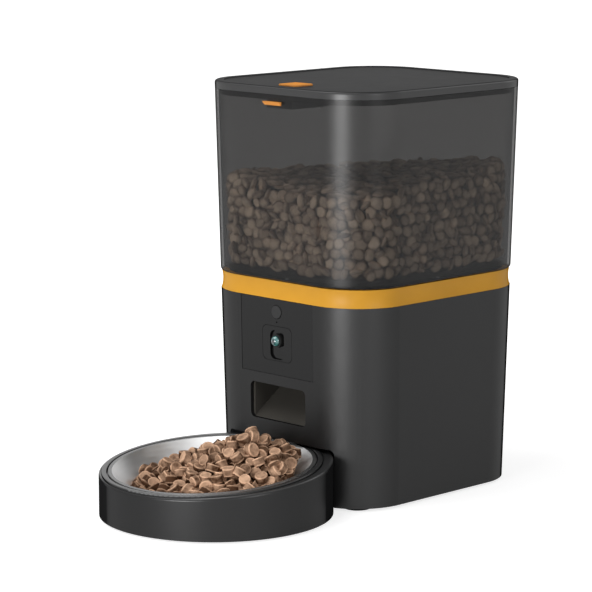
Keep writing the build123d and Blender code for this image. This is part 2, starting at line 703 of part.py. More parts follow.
# Feed button, the switch that it presses and the small board that carries the switch
BUTTON_FACE = PANEL_RECESS - BUTTON_PROUD
BUTTON_LIP = PANEL_BACK + SKIN_GAP
with BuildPart() as feed_button:
    with BuildSketch(front_plane(BUTTON_HEIGHT, BUTTON_FACE)):
        Circle(BUTTON_RADIUS)
    extrude(amount=BUTTON_FACE - BUTTON_LIP)
    fillet(feed_button.faces().sort_by(Axis.Y)[0].edges(), BUTTON_PROUD / 2)
    with BuildSketch(front_plane(BUTTON_HEIGHT, BUTTON_LIP)):
        Circle(BUTTON_FLANGE_RADIUS)
    extrude(amount=-BUTTON_FLANGE_THICK)
    with BuildSketch(front_plane(BUTTON_HEIGHT, BUTTON_LIP)):
        Circle(BUTTON_STEM_RADIUS)
    extrude(amount=-BUTTON_FLANGE_THICK - BUTTON_STEM_LENGTH)
keep(feed_button.part, "feed_button")

with BuildPart() as feed_switch:
    with BuildSketch(front_plane(BUTTON_HEIGHT, FRONT_BOARD_INSET)):
        Rectangle(SWITCH_SIZE, SWITCH_SIZE)
    extrude(amount=SWITCH_THICK)
keep(feed_switch.part, "feed_switch")

with BuildPart() as front_board:
    with BuildSketch(front_plane(BUTTON_HEIGHT, FRONT_BOARD_INSET)):
        Rectangle(FRONT_BOARD_WIDTH, FRONT_BOARD_TALL)
    extrude(amount=-BOARD_THICK)
keep(front_board.part, "front_board")

# Food chute: a sloping duct from under the deck to the outlet
CHUTE_FLOOR = OUTLET_LOW + CHUTE_SILL
CHUTE_ROOF = OUTLET_LOW + OUTLET_TALL - CHUTE_SILL
CHUTE_SLOPE = (DECK_LOW - CHUTE_FLOOR) / (CHUTE_MOUTH - CHUTE_BACK)
ROOF_SLOPE = (DECK_LOW - CHUTE_ROOF) / (CHUTE_MOUTH - CHUTE_FRONT)
with BuildPart() as outlet_chute:
    with BuildSketch(profile_plane(-CHUTE_HALF_WIDTH - CHUTE_WALL)):
        with BuildLine():
            Polyline(
                (-CHUTE_MOUTH, CHUTE_FLOOR - CHUTE_WALL),
                (-CHUTE_BACK + CHUTE_WALL, DECK_LOW - CHUTE_WALL),
                (-CHUTE_BACK + CHUTE_WALL, DECK_LOW),
                (-CHUTE_FRONT - 2 * CHUTE_WALL, DECK_LOW),
                (-CHUTE_MOUTH, CHUTE_ROOF + CHUTE_WALL),
                close=True,
            )
        make_face()
    extrude(amount=2 * (CHUTE_HALF_WIDTH + CHUTE_WALL))
    with BuildSketch(profile_plane(-CHUTE_HALF_WIDTH)):
        with BuildLine():
            Polyline(
                (-CHUTE_MOUTH - CUT_OVER, CHUTE_FLOOR - CUT_OVER * CHUTE_SLOPE),
                (-CHUTE_BACK, DECK_LOW),
                (-CHUTE_BACK, DECK_LOW + CUT_OVER),
                (-CHUTE_FRONT, DECK_LOW + CUT_OVER),
                (-CHUTE_FRONT, DECK_LOW),
                (-CHUTE_MOUTH - CUT_OVER, CHUTE_ROOF - CUT_OVER * ROOF_SLOPE),
                close=True,
            )
        make_face()
    extrude(amount=2 * CHUTE_HALF_WIDTH, mode=Mode.SUBTRACT)
keep(outlet_chute.part, "outlet_chute")

# Pair of food sensors, one on each side of the chute
with BuildPart() as food_sensors:
    for side in (-1, 1):
        sensor_x = side * (CHUTE_HALF_WIDTH + CHUTE_WALL + FOOD_SENSOR_SIZE / 2)
        with BuildSketch(at(sensor_x, FOOD_SENSOR_Y, FOOD_SENSOR_HEIGHT)):
            Rectangle(FOOD_SENSOR_SIZE, FOOD_SENSOR_SIZE)
        extrude(amount=FOOD_SENSOR_SIZE)
keep(food_sensors.part, "food_sensors")

# Deck on the columns: carries the gear case below and locates the hopper's drum above
COLLAR_RADIUS = DRUM_RADIUS + FUNNEL_WALL + COLLAR_GAP
DECK_INSET = WALL + SKIN_GAP
with BuildPart() as deck:
    loft([section(DECK_LOW, DECK_INSET), section(DECK_TOP, DECK_INSET)])
    with BuildSketch(level(DECK_TOP)):
        Circle(COLLAR_RADIUS + COLLAR_WALL)
        Circle(COLLAR_RADIUS, mode=Mode.SUBTRACT)
    extrude(amount=COLLAR_TALL)
    with BuildSketch(level(DECK_LOW)):
        with Locations((0, -CAMERA_BAY_BACK - FLOOR_HALF_DEPTH / 2)):
            Rectangle(CAMERA_BAY_WIDTH, FLOOR_HALF_DEPTH)
        with Locations((0, -(CHUTE_FRONT + CHUTE_BACK) / 2)):
            Rectangle(2 * CHUTE_HALF_WIDTH, CHUTE_FRONT - CHUTE_BACK)
        Circle(BUSH_RADIUS + RUN_GAP)
        with Locations((IDLER_X, 0)):
            Circle(AXLE_RADIUS + RUN_GAP)
        for x, y in corner_places(COLUMN_X, COLUMN_Y):
            with Locations((x, y)):
                Circle(SCREW_RADIUS + SCREW_HOLE_GAP)
    extrude(amount=DECK_THICK + COLLAR_TALL, mode=Mode.SUBTRACT)
keep(deck.part, "deck")

# Screws that hold the deck on the columns
with BuildPart() as deck_screws:
    with BuildSketch(level(DECK_TOP)):
        for x, y in corner_places(COLUMN_X, COLUMN_Y):
            with Locations((x, y)):
                Circle(SCREW_HEAD_RADIUS)
    extrude(amount=SCREW_HEAD_TALL)
    with BuildSketch(level(DECK_TOP)):
        for x, y in corner_places(COLUMN_X, COLUMN_Y):
            with Locations((x, y)):
                Circle(SCREW_RADIUS)
    extrude(amount=-SCREW_LENGTH)
keep(deck_screws.part, "deck_screws")

# Gear case: a tub that hangs under the deck
CASE_WIDTH = CASE_LEFT + CASE_RIGHT
CASE_X = (CASE_RIGHT - CASE_LEFT) / 2
with BuildPart() as gearbox_case:
    with BuildSketch(at(CASE_X, 0, CASE_LOW)):
        RectangleRounded(CASE_WIDTH, 2 * CASE_HALF_DEPTH, CASE_CORNER)
    extrude(amount=DECK_LOW - CASE_LOW)
    with BuildSketch(at(CASE_X, 0, CASE_FLOOR)):
        RectangleRounded(
            CASE_WIDTH - 2 * CASE_WALL,
            2 * (CASE_HALF_DEPTH - CASE_WALL),
            CASE_CORNER - CASE_WALL,
        )
    extrude(amount=DECK_LOW - CASE_FLOOR, mode=Mode.SUBTRACT)
    with BuildSketch(level(CASE_LOW)):
        Circle(BUSH_RADIUS + RUN_GAP)
        with Locations((IDLER_X, 0)):
            Circle(AXLE_RADIUS + RUN_GAP)
        with Locations((MOTOR_X, 0)):
            Circle(2 * AXLE_RADIUS)
    extrude(amount=CASE_WALL, mode=Mode.SUBTRACT)
keep(gearbox_case.part, "gearbox_case")

# Bushes for the drive shaft, one in the case floor and one in the deck
BUSH_PLACES = {
    "shaft_bush_lower": CASE_LOW,
    "shaft_bush_upper": DECK_TOP + SKIN_GAP - BUSH_TALL,
}
for bush_name, bush_low in BUSH_PLACES.items():
    bush_tall = CASE_WALL if bush_name == "shaft_bush_lower" else BUSH_TALL
    with BuildPart() as shaft_bush:
        with BuildSketch(level(bush_low)):
            Circle(BUSH_RADIUS)
            Circle(DRIVE_SHAFT_RADIUS + RUN_GAP, mode=Mode.SUBTRACT)
        extrude(amount=bush_tall)
    keep(shaft_bush.part, bush_name)

# Drive shaft with a six-sided dog that enters the rotor
with BuildPart() as drive_shaft:
    with BuildSketch(level(CASE_LOW)):
        Circle(DRIVE_SHAFT_RADIUS)
    extrude(amount=DRIVE_SHAFT_TOP - CASE_LOW)
    with BuildSketch(level(DRIVE_SHAFT_TOP)):
        RegularPolygon(DRIVE_SHAFT_RADIUS, DOG_SIDES)
    extrude(amount=DRIVE_DOG_TOP - DRIVE_SHAFT_TOP)
keep(drive_shaft.part, "drive_shaft")

# Output gear on the drive shaft
with BuildPart() as output_gear:
    with BuildSketch(level(OUTPUT_GEAR_LOW)):
        with BuildLine():
            Polyline(*gear_points(OUTPUT_TEETH), close=True)
        make_face()
        Circle(DRIVE_SHAFT_RADIUS + RUN_GAP / 2, mode=Mode.SUBTRACT)
    extrude(amount=OUTPUT_GEAR_THICK)
keep(output_gear.part, "output_gear")

# Idler: a small gear and a large gear in one, on a fixed axle
with BuildPart() as idler_gear:
    with BuildSketch(at(IDLER_X, 0, IDLER_LOW)):
        with BuildLine():
            Polyline(*gear_points(IDLER_SMALL_TEETH, 180 / IDLER_SMALL_TEETH), close=True)
        make_face()
    extrude(amount=IDLER_LARGE_LOW - IDLER_LOW)
    with BuildSketch(at(IDLER_X, 0, IDLER_LARGE_LOW)):
        with BuildLine():
            Polyline(*gear_points(IDLER_LARGE_TEETH), close=True)
        make_face()
    extrude(amount=IDLER_LARGE_THICK)
    with BuildSketch(at(IDLER_X, 0, IDLER_LOW)):
        Circle(AXLE_RADIUS + RUN_GAP)
    extrude(amount=IDLER_LARGE_LOW + IDLER_LARGE_THICK - IDLER_LOW, mode=Mode.SUBTRACT)
keep(idler_gear.part, "idler_gear")

with BuildPart() as idler_axle:
    with BuildSketch(at(IDLER_X, 0, CASE_LOW)):
        Circle(AXLE_RADIUS)
    extrude(amount=DECK_TOP - CASE_LOW)
keep(idler_axle.part, "idler_axle")

# Motor under the gear case, its end cap, shaft and pinion
with BuildPart() as motor:
    with BuildSketch(at(MOTOR_X, 0, MOTOR_LOW)):
        Circle(MOTOR_RADIUS)
    extrude(amount=CASE_LOW - MOTOR_LOW)
    with BuildSketch(at(MOTOR_X, 0, MOTOR_SHAFT_LOW - SKIN_GAP)):
        Circle(AXLE_RADIUS + RUN_GAP)
    extrude(amount=CASE_LOW - MOTOR_SHAFT_LOW + SKIN_GAP, mode=Mode.SUBTRACT)
keep(motor.part, "motor")

with BuildPart() as motor_end_cap:
    with BuildSketch(at(MOTOR_X, 0, MOTOR_LOW)):
        Circle(MOTOR_RADIUS)
    extrude(amount=-MOTOR_CAP_TALL)
    fillet(motor_end_cap.faces().sort_by(Axis.Z)[0].edges(), MOTOR_CAP_TALL / 3)
keep(motor_end_cap.part, "motor_end_cap")

with BuildPart() as motor_shaft:
    with BuildSketch(at(MOTOR_X, 0, MOTOR_SHAFT_LOW)):
        Circle(AXLE_RADIUS)
    extrude(amount=MOTOR_PINION_LOW + MOTOR_PINION_THICK - MOTOR_SHAFT_LOW)
keep(motor_shaft.part, "motor_shaft")

with BuildPart() as motor_pinion:
    with BuildSketch(at(MOTOR_X, 0, MOTOR_PINION_LOW)):
        with BuildLine():
            Polyline(*gear_points(MOTOR_TEETH, 180 / MOTOR_TEETH), close=True)
        make_face()
        Circle(AXLE_RADIUS + RUN_GAP / 2, mode=Mode.SUBTRACT)
    extrude(amount=MOTOR_PINION_THICK)
keep(motor_pinion.part, "motor_pinion")

# Main board on the base plate's posts, with its wireless module and connectors
with BuildPart() as main_board:
    with BuildSketch(at(0, MAIN_BOARD_Y, MAIN_BOARD_LOW)):
        RectangleRounded(MAIN_BOARD_WIDTH, MAIN_BOARD_DEPTH, MAIN_POST_RADIUS)
    extrude(amount=BOARD_THICK)
keep(main_board.part, "main_board")

with BuildPart() as wireless_module:
    with BuildSketch(at(MAIN_BOARD_WIDTH / 4, MAIN_BOARD_Y, MAIN_BOARD_LOW + BOARD_THICK)):
        Rectangle(WIRELESS_WIDTH, WIRELESS_DEPTH)
    extrude(amount=WIRELESS_THICK)
keep(wireless_module.part, "wireless_module")

with BuildPart() as board_connectors:
    with BuildSketch(at(-MAIN_BOARD_WIDTH / 4, MAIN_BOARD_Y, MAIN_BOARD_LOW + BOARD_THICK)):
        with GridLocations(CONNECTOR_PITCH, CONNECTOR_PITCH, 2, 2):
            Rectangle(CONNECTOR_WIDTH, CONNECTOR_DEPTH)
    extrude(amount=CONNECTOR_TALL)
keep(board_connectors.part, "board_connectors")

# Battery box behind the rear wall, open to the back
BATTERY_MOUTH = half_depth(BATTERY_LOW - BATTERY_WALL) - WALL - BATTERY_MOUTH_GAP
BATTERY_MID = BATTERY_LOW + BATTERY_TALL / 2
with BuildPart() as battery_box:
    with BuildSketch(Plane((0, BODY_Y + BATTERY_MOUTH, BATTERY_MID), x_dir=(1, 0, 0), z_dir=(0, -1, 0))):
        Rectangle(BATTERY_WIDTH + 2 * BATTERY_WALL, BATTERY_TALL + 2 * BATTERY_WALL)
    extrude(amount=BATTERY_DEEP + BATTERY_WALL)
    with BuildSketch(Plane((0, BODY_Y + BATTERY_MOUTH, BATTERY_MID), x_dir=(1, 0, 0), z_dir=(0, -1, 0))):
        Rectangle(BATTERY_WIDTH, BATTERY_TALL)
    extrude(amount=BATTERY_DEEP, mode=Mode.SUBTRACT)
keep(battery_box.part, "battery_box")

# Contact plates at both ends of each cell's place
with BuildPart() as battery_contacts:
    contact_y = BATTERY_MOUTH - BATTERY_DEEP / 2
    for contact_low in (BATTERY_LOW, BATTERY_LOW + BATTERY_TALL - BATTERY_CONTACT_THICK):
        with BuildSketch(at(0, contact_y, contact_low)):
            with GridLocations(BATTERY_WIDTH / BATTERY_CELLS, 1, BATTERY_CELLS, 1):
                Rectangle(BATTERY_CONTACT_WIDTH, BATTERY_CONTACT_WIDTH)
        extrude(amount=BATTERY_CONTACT_THICK)
keep(battery_contacts.part, "battery_contacts")

# Battery door, flush in the rear wall, with a round lower edge, hinge pins and a thumb hollow at its top
DOOR_WIDTH = BATTERY_WIDTH - 2 * BATTERY_DOOR_FIT
DOOR_TALL = BATTERY_TALL - BATTERY_DOOR_FIT - DOOR_PIN_RISE
DOOR_PIN_SPAN = BATTERY_WIDTH + 2 * (DOOR_PIN_LENGTH - SKIN_GAP)
with BuildPart() as battery_door:
    with BuildSketch(rear_plane(BATTERY_LOW)):
        with Locations((0, DOOR_PIN_RISE + DOOR_TALL / 2)):
            Rectangle(DOOR_WIDTH, DOOR_TALL)
    extrude(amount=-BATTERY_DOOR_THICK)
    for round_radius, round_length in ((DOOR_HALF_THICK, DOOR_WIDTH), (DOOR_PIN_RADIUS, DOOR_PIN_SPAN)):
        with BuildSketch(profile_plane(-round_length / 2)):
            with Locations((DOOR_HINGE_Y, DOOR_HINGE_HEIGHT)):
                Circle(round_radius)
        extrude(amount=round_length)
    with BuildSketch(rear_plane(BATTERY_LOW)):
        with Locations((0, BATTERY_TALL - DOOR_GRIP_RADIUS)):
            SlotOverall(3 * DOOR_GRIP_RADIUS, DOOR_GRIP_RADIUS)
    extrude(amount=-BATTERY_DOOR_THICK / 2, mode=Mode.SUBTRACT)
keep(battery_door.part, "battery_door")

# Power inlet: a flat socket with a contact tongue
with BuildPart() as power_inlet:
    with BuildSketch(rear_plane(INLET_HEIGHT, WALL + RUN_GAP)):
        with Locations((-INLET_X, 0)):
            Rectangle(INLET_WIDTH, INLET_TALL)
    extrude(amount=-INLET_DEEP)
    with BuildSketch(rear_plane(INLET_HEIGHT, WALL + RUN_GAP)):
        with Locations((-INLET_X, 0)):
            RectangleRounded(INLET_SLOT_WIDTH, INLET_SLOT_TALL, INLET_SLOT_TALL / 2 - RUN_GAP)
    extrude(amount=-INLET_SLOT_DEEP, mode=Mode.SUBTRACT)
    with BuildSketch(rear_plane(INLET_HEIGHT, WALL + INLET_SLOT_DEEP + RUN_GAP)):
        with Locations((-INLET_X, 0)):
            Rectangle(INLET_TONGUE_WIDTH, INLET_TONGUE_TALL)
    extrude(amount=INLET_TONGUE_LENGTH)
keep(power_inlet.part, "power_inlet")

# Speaker behind the rear grille
with BuildPart() as speaker:
    with BuildSketch(rear_plane(SPEAKER_HEIGHT, WALL + RUN_GAP)):
        Circle(SPEAKER_RADIUS)
    extrude(amount=-SPEAKER_RIM)
    with BuildSketch(rear_plane(SPEAKER_HEIGHT, WALL + RUN_GAP + SPEAKER_RIM)):
        Circle(SPEAKER_MAGNET_RADIUS)
    extrude(amount=-SPEAKER_MAGNET_TALL)
keep(speaker.part, "speaker")

# Hopper shell: see-through box with a floor flange, hinge ears and a slot for the lock bolt
HOPPER_FLOOR = HOPPER_BOTTOM + FUNNEL_FLANGE
BOLT_MID = BOLT_LOW + BOLT_THICK / 2
HOPPER_SCREW_INSET = (FUNNEL_INSET + FUNNEL_EDGE_INSET) / 2
HOPPER_SCREW_X = half_width(HOPPER_BOTTOM) - HOPPER_SCREW_INSET
HOPPER_SCREW_Y = half_depth(HOPPER_BOTTOM) - HOPPER_SCREW_INSET
HOPPER_SCREW_PLACES = [(HOPPER_SCREW_X, 0), (-HOPPER_SCREW_X, 0), (0, HOPPER_SCREW_Y), (0, -HOPPER_SCREW_Y)]
with BuildPart() as hopper_shell:
    loft([section(HOPPER_BOTTOM), section(HOPPER_TOP)])
    fillet(hopper_shell.edges().group_by(Axis.Z)[0], HOPPER_EDGE_RADIUS)
    loft([section(HOPPER_FLOOR, WALL), section(HOPPER_TOP + CUT_OVER, WALL)], mode=Mode.SUBTRACT)
    loft(
        [section(HOPPER_BOTTOM - CUT_OVER, FUNNEL_INSET), section(HOPPER_FLOOR + CUT_OVER, FUNNEL_INSET)],
        mode=Mode.SUBTRACT,
    )
    for ear_start in (HINGE_EAR_INNER, -HINGE_EAR_OUTER):
        with BuildSketch(profile_plane(ear_start)):
            with Locations((HINGE_Y, HOPPER_TOP)):
                Circle(HINGE_RADIUS)
            with Locations((HINGE_Y - (HINGE_OUT + HINGE_ROOT) / 2, HOPPER_TOP - HINGE_RADIUS / 2)):
                Rectangle(HINGE_OUT + HINGE_ROOT, HINGE_RADIUS)
        extrude(amount=HINGE_EAR_OUTER - HINGE_EAR_INNER)
    with BuildSketch(profile_plane(-HINGE_EAR_OUTER)):
        with Locations((HINGE_Y, HOPPER_TOP)):
            Circle(HINGE_PIN_RADIUS + RUN_GAP)
    extrude(amount=2 * HINGE_EAR_OUTER, mode=Mode.SUBTRACT)
    with BuildSketch(Plane((0, BODY_Y, BOLT_MID), x_dir=(1, 0, 0), z_dir=(0, -1, 0))):
        Rectangle(BOLT_WIDTH + 2 * LATCH_SLOT_GAP, BOLT_THICK + 2 * LATCH_SLOT_GAP)
    extrude(amount=2 * FLOOR_HALF_DEPTH, mode=Mode.SUBTRACT)
    with BuildSketch(level(HOPPER_BOTTOM)):
        with Locations(HOPPER_SCREW_PLACES):
            Circle(SCREW_RADIUS + SCREW_HOLE_GAP)
    extrude(amount=FUNNEL_FLANGE - SCREW_HOLE_GAP, mode=Mode.SUBTRACT)
keep(hopper_shell.part, "hopper_shell")

# Pin of the lid hinge
with BuildPart() as hinge_pin:
    with BuildSketch(profile_plane(-HINGE_EAR_OUTER)):
        with Locations((HINGE_Y, HOPPER_TOP)):
            Circle(HINGE_PIN_RADIUS)
    extrude(amount=2 * HINGE_EAR_OUTER)
keep(hinge_pin.part, "hinge_pin")

# Latch cap: the small coloured ledge that covers the lock slot outside
LATCH_CAP_HIGH = LATCH_CAP_LOW + LATCH_CAP_TALL
with BuildPart() as latch_cap:
    with BuildSketch(profile_plane(-LATCH_CAP_WIDTH / 2)):
        with BuildLine():
            Polyline(
                (-half_depth(LATCH_CAP_LOW) - RUN_GAP, LATCH_CAP_LOW),
                (-half_depth(LATCH_CAP_LOW) - LATCH_CAP_FOOT, LATCH_CAP_LOW),
                (-half_depth(LATCH_CAP_HIGH) - LATCH_CAP_REACH, LATCH_CAP_HIGH),
                (-half_depth(LATCH_CAP_HIGH) - RUN_GAP, LATCH_CAP_HIGH),
                close=True,
            )
        make_face()
    extrude(amount=LATCH_CAP_WIDTH)
keep(latch_cap.part, "latch_cap")

# Funnel under the hopper with the portion drum, its drop hole and the shield over the hole
FUNNEL_TOP = HOPPER_BOTTOM
FUNNEL_FLANGE_LOW = FUNNEL_TOP - FUNNEL_FLANGE


def funnel_ring(height, inset, corner):
    """Rounded rectangle of the funnel's mouth."""
    with BuildSketch(level(height)) as ring:
        width = 2 * (half_width(FUNNEL_TOP) - inset)
        depth = 2 * (half_depth(FUNNEL_TOP) - inset)
        RectangleRounded(width, depth, corner)
    return ring.sketch


def drum_ring(height, half_size):
    """Section where the funnel meets the drum: a square with corners rounded almost fully."""
    with BuildSketch(level(height)) as ring:
        RectangleRounded(2 * half_size, 2 * half_size, half_size - DRUM_MOUTH_FLAT)
    return ring.sketch


def drop_sector(inner, outer, half_angle, height):
    """Ring sector that points to the front."""
    with BuildSketch(level(height)) as sector:
        Circle(outer)
        Circle(inner, mode=Mode.SUBTRACT)
        reach = 2 * outer
        edge = radians(half_angle)
        with BuildLine():
            Polyline(
                (0, 0),
                (-reach * sin(edge), -reach * cos(edge)),
                (reach * sin(edge), -reach * cos(edge)),
                close=True,
            )
        make_face(mode=Mode.INTERSECT)
    return sector.sketch


with BuildPart() as hopper_funnel:
    loft([funnel_ring(FUNNEL_FLANGE_LOW, FUNNEL_EDGE_INSET, CORNER_RADIUS - FUNNEL_EDGE_INSET),
          funnel_ring(FUNNEL_TOP, FUNNEL_EDGE_INSET, CORNER_RADIUS - FUNNEL_EDGE_INSET)])
    loft([drum_ring(DRUM_TOP - FUNNEL_WALL, DRUM_RADIUS + FUNNEL_WALL + DRUM_MOUTH_STEP),
          funnel_ring(FUNNEL_TOP, FUNNEL_INSET - FUNNEL_WALL, FUNNEL_MOUTH_CORNER + FUNNEL_WALL)])
    with BuildSketch(level(DRUM_LOW)):
        Circle(DRUM_RADIUS + FUNNEL_WALL)
    extrude(amount=DRUM_TOP - DRUM_LOW)
    loft([drum_ring(DRUM_TOP, DRUM_RADIUS - DRUM_MOUTH_STEP),
          funnel_ring(FUNNEL_TOP + CUT_OVER, FUNNEL_INSET, FUNNEL_MOUTH_CORNER)], mode=Mode.SUBTRACT)
    with BuildSketch(level(DRUM_FLOOR_TOP)):
        Circle(DRUM_RADIUS)
    extrude(amount=DRUM_TOP + CUT_OVER - DRUM_FLOOR_TOP, mode=Mode.SUBTRACT)
    shield_reach = DRUM_RADIUS + FUNNEL_WALL / 2
    shield_low = SHIELD_TOP - SHIELD_THICK
    extrude(drop_sector(SHIELD_INNER, shield_reach, SHIELD_HALF_ANGLE, shield_low), amount=SHIELD_THICK)
    extrude(drop_sector(DROP_INNER, DROP_OUTER, DROP_HALF_ANGLE, DRUM_LOW), amount=DRUM_FLOOR,
            mode=Mode.SUBTRACT)
    with BuildSketch(level(DRUM_LOW)):
        Circle(SHAFT_HOLE_RADIUS)
    extrude(amount=DRUM_FLOOR, mode=Mode.SUBTRACT)
    with BuildSketch(level(FUNNEL_FLANGE_LOW)):
        with Locations(HOPPER_SCREW_PLACES):
            Circle(SCREW_RADIUS + SCREW_HOLE_GAP)
    extrude(amount=FUNNEL_FLANGE, mode=Mode.SUBTRACT)
keep(hopper_funnel.part, "hopper_funnel")

# Screws that hold the funnel under the hopper
with BuildPart() as hopper_screws:
    with BuildSketch(level(FUNNEL_FLANGE_LOW)):
        with Locations(HOPPER_SCREW_PLACES):
            Circle(SCREW_HEAD_RADIUS)
    extrude(amount=-SCREW_HEAD_TALL)
    with BuildSketch(level(FUNNEL_FLANGE_LOW)):
        with Locations(HOPPER_SCREW_PLACES):
            Circle(SCREW_RADIUS)
    extrude(amount=2 * FUNNEL_FLANGE - 2 * SCREW_HOLE_GAP)
keep(hopper_screws.part, "hopper_screws")

# Portion rotor: hub with vanes and a six-sided socket for the drive dog
with BuildPart() as portion_rotor:
    with BuildSketch(level(ROTOR_LOW)):
        Circle(ROTOR_HUB_RADIUS)
        with PolarLocations(ROTOR_RADIUS / 2, ROTOR_VANES):
            Rectangle(ROTOR_RADIUS, ROTOR_VANE_THICK)
    extrude(amount=ROTOR_TALL)
    with BuildSketch(level(ROTOR_LOW)):
        RegularPolygon(DRIVE_SHAFT_RADIUS + ROTOR_SOCKET_GAP / cos(pi / DOG_SIDES), DOG_SIDES)
    extrude(amount=DRIVE_DOG_TOP + ROTOR_SOCKET_GAP - ROTOR_LOW, mode=Mode.SUBTRACT)
keep(portion_rotor.part, "portion_rotor")

# Soft stirrer on top of the rotor
STIRRER_LOW = SHIELD_TOP + ROTOR_GAP
with BuildPart() as stirrer:
    with BuildSketch(level(ROTOR_TOP)):
        Circle(STIRRER_HUB_RADIUS)
    extrude(amount=STIRRER_LOW + STIRRER_RISE - ROTOR_TOP)
    with BuildSketch(level(STIRRER_LOW)):
        SlotOverall(2 * STIRRER_RADIUS, STIRRER_WIDTH)
    extrude(amount=STIRRER_THICK)
keep(stirrer.part, "stirrer")

# Lid shell: dished top, plug that enters the hopper, knuckle, button hole and tub bosses
PLUG_LOW = LID_BOTTOM - PLUG_DEPTH
with BuildPart() as lid_shell:
    loft([section(LID_BOTTOM), section(LID_TOP)])
    fillet(lid_shell.edges().group_by(Axis.Z)[-1], LID_EDGE_RADIUS)
    loft([section(LID_SURFACE, LID_DISH_INSET), section(LID_TOP + CUT_OVER, LID_DISH_INSET)],
         mode=Mode.SUBTRACT)
    loft([section(PLUG_LOW, PLUG_INSET), section(LID_BOTTOM, PLUG_INSET)])
    plug_inside = PLUG_INSET + PLUG_WALL
    loft([section(PLUG_LOW - CUT_OVER, plug_inside), section(LID_UNDERSIDE, plug_inside)], mode=Mode.SUBTRACT)
    with BuildSketch(profile_plane(-HINGE_EAR_INNER + HINGE_SIDE_GAP)):
        with Locations((HINGE_Y, HOPPER_TOP)):
            Circle(HINGE_RADIUS)
        with Locations((HINGE_Y - (HINGE_OUT + HINGE_ROOT) / 2, LID_BOTTOM + HINGE_RADIUS / 2)):
            Rectangle(HINGE_OUT + HINGE_ROOT, HINGE_RADIUS)
    extrude(amount=2 * (HINGE_EAR_INNER - HINGE_SIDE_GAP))
    with BuildSketch(profile_plane(-HINGE_EAR_INNER)):
        with Locations((HINGE_Y, HOPPER_TOP)):
            Circle(HINGE_PIN_RADIUS + RUN_GAP)
    extrude(amount=2 * HINGE_EAR_INNER, mode=Mode.SUBTRACT)
    with BuildSketch(at(0, LID_BUTTON_Y, LID_UNDERSIDE - CUT_OVER)):
        RectangleRounded(
            LID_BUTTON_SIZE + 2 * LID_BUTTON_GAP,
            LID_BUTTON_SIZE + 2 * LID_BUTTON_GAP,
            LID_BUTTON_CORNER,
        )
    extrude(amount=LID_PLATE + 2 * CUT_OVER, mode=Mode.SUBTRACT)
    with BuildSketch(at(0, TUB_BOSS_Y, TUB_LOW + TUB_WALL)):
        with Locations((TUB_BOSS_X, 0), (-TUB_BOSS_X, 0)):
            Circle(TUB_BOSS_RADIUS)
    extrude(amount=LID_UNDERSIDE - TUB_LOW - TUB_WALL)
    with BuildSketch(at(0, TUB_BOSS_Y, TUB_LOW + TUB_WALL)):
        with Locations((TUB_BOSS_X, 0), (-TUB_BOSS_X, 0)):
            Circle(TUB_SCREW_RADIUS + SCREW_HOLE_GAP)
    extrude(amount=TUB_SCREW_LENGTH, mode=Mode.SUBTRACT)
keep(lid_shell.part, "lid_shell")

# Seal ring round the plug
SEAL_HIGH = LID_BOTTOM - SEAL_DROP
with BuildPart() as lid_seal:
    loft([section(SEAL_HIGH - SEAL_TALL, PLUG_INSET - SEAL_THICK - RUN_GAP),
          section(SEAL_HIGH, PLUG_INSET - SEAL_THICK - RUN_GAP)])
    loft([section(SEAL_HIGH - SEAL_TALL - CUT_OVER, PLUG_INSET - RUN_GAP),
          section(SEAL_HIGH + CUT_OVER, PLUG_INSET - RUN_GAP)], mode=Mode.SUBTRACT)
keep(lid_seal.part, "lid_seal")

# Lid button with a lip under the lid and a slanted cam on its stem
LID_BUTTON_TOP = LID_SURFACE + LID_BUTTON_PROUD
LID_BUTTON_LOW = LID_UNDERSIDE - LID_BUTTON_GAP - LID_BUTTON_LIP_THICK
BOLT_TOP = BOLT_LOW + BOLT_THICK
STEM_LOW = BOLT_TOP + STEM_CLEAR


def cam_face(height):
    """How far the button's cam face lies in front of the body's axis at a height."""
    return RAMP_FOOT - CAM_GAP + LATCH_RATIO * (height - BOLT_TOP)


with BuildPart() as lid_button:
    with BuildSketch(at(0, LID_BUTTON_Y, LID_BUTTON_LOW)):
        RectangleRounded(LID_BUTTON_SIZE, LID_BUTTON_SIZE, LID_BUTTON_CORNER)
    extrude(amount=LID_BUTTON_TOP - LID_BUTTON_LOW)
    chamfer(lid_button.faces().sort_by(Axis.Z)[-1].edges(), LID_BUTTON_GAP)
    with BuildSketch(at(0, LID_BUTTON_Y, LID_BUTTON_LOW)):
        RectangleRounded(
            LID_BUTTON_SIZE + 2 * LID_BUTTON_LIP,
            LID_BUTTON_SIZE + 2 * LID_BUTTON_LIP,
            LID_BUTTON_CORNER,
        )
    extrude(amount=LID_BUTTON_LIP_THICK)
    with BuildSketch(profile_plane(-LID_BUTTON_STEM_HALF)):
        with BuildLine():
            Polyline(
                (-STEM_BACK, LID_BUTTON_LOW),
                (-cam_face(LID_BUTTON_LOW), LID_BUTTON_LOW),
                (-cam_face(STEM_LOW), STEM_LOW),
                (-STEM_BACK, STEM_LOW),
                close=True,
            )
        make_face()
    extrude(amount=2 * LID_BUTTON_STEM_HALF)
keep(lid_button.part, "lid_button")

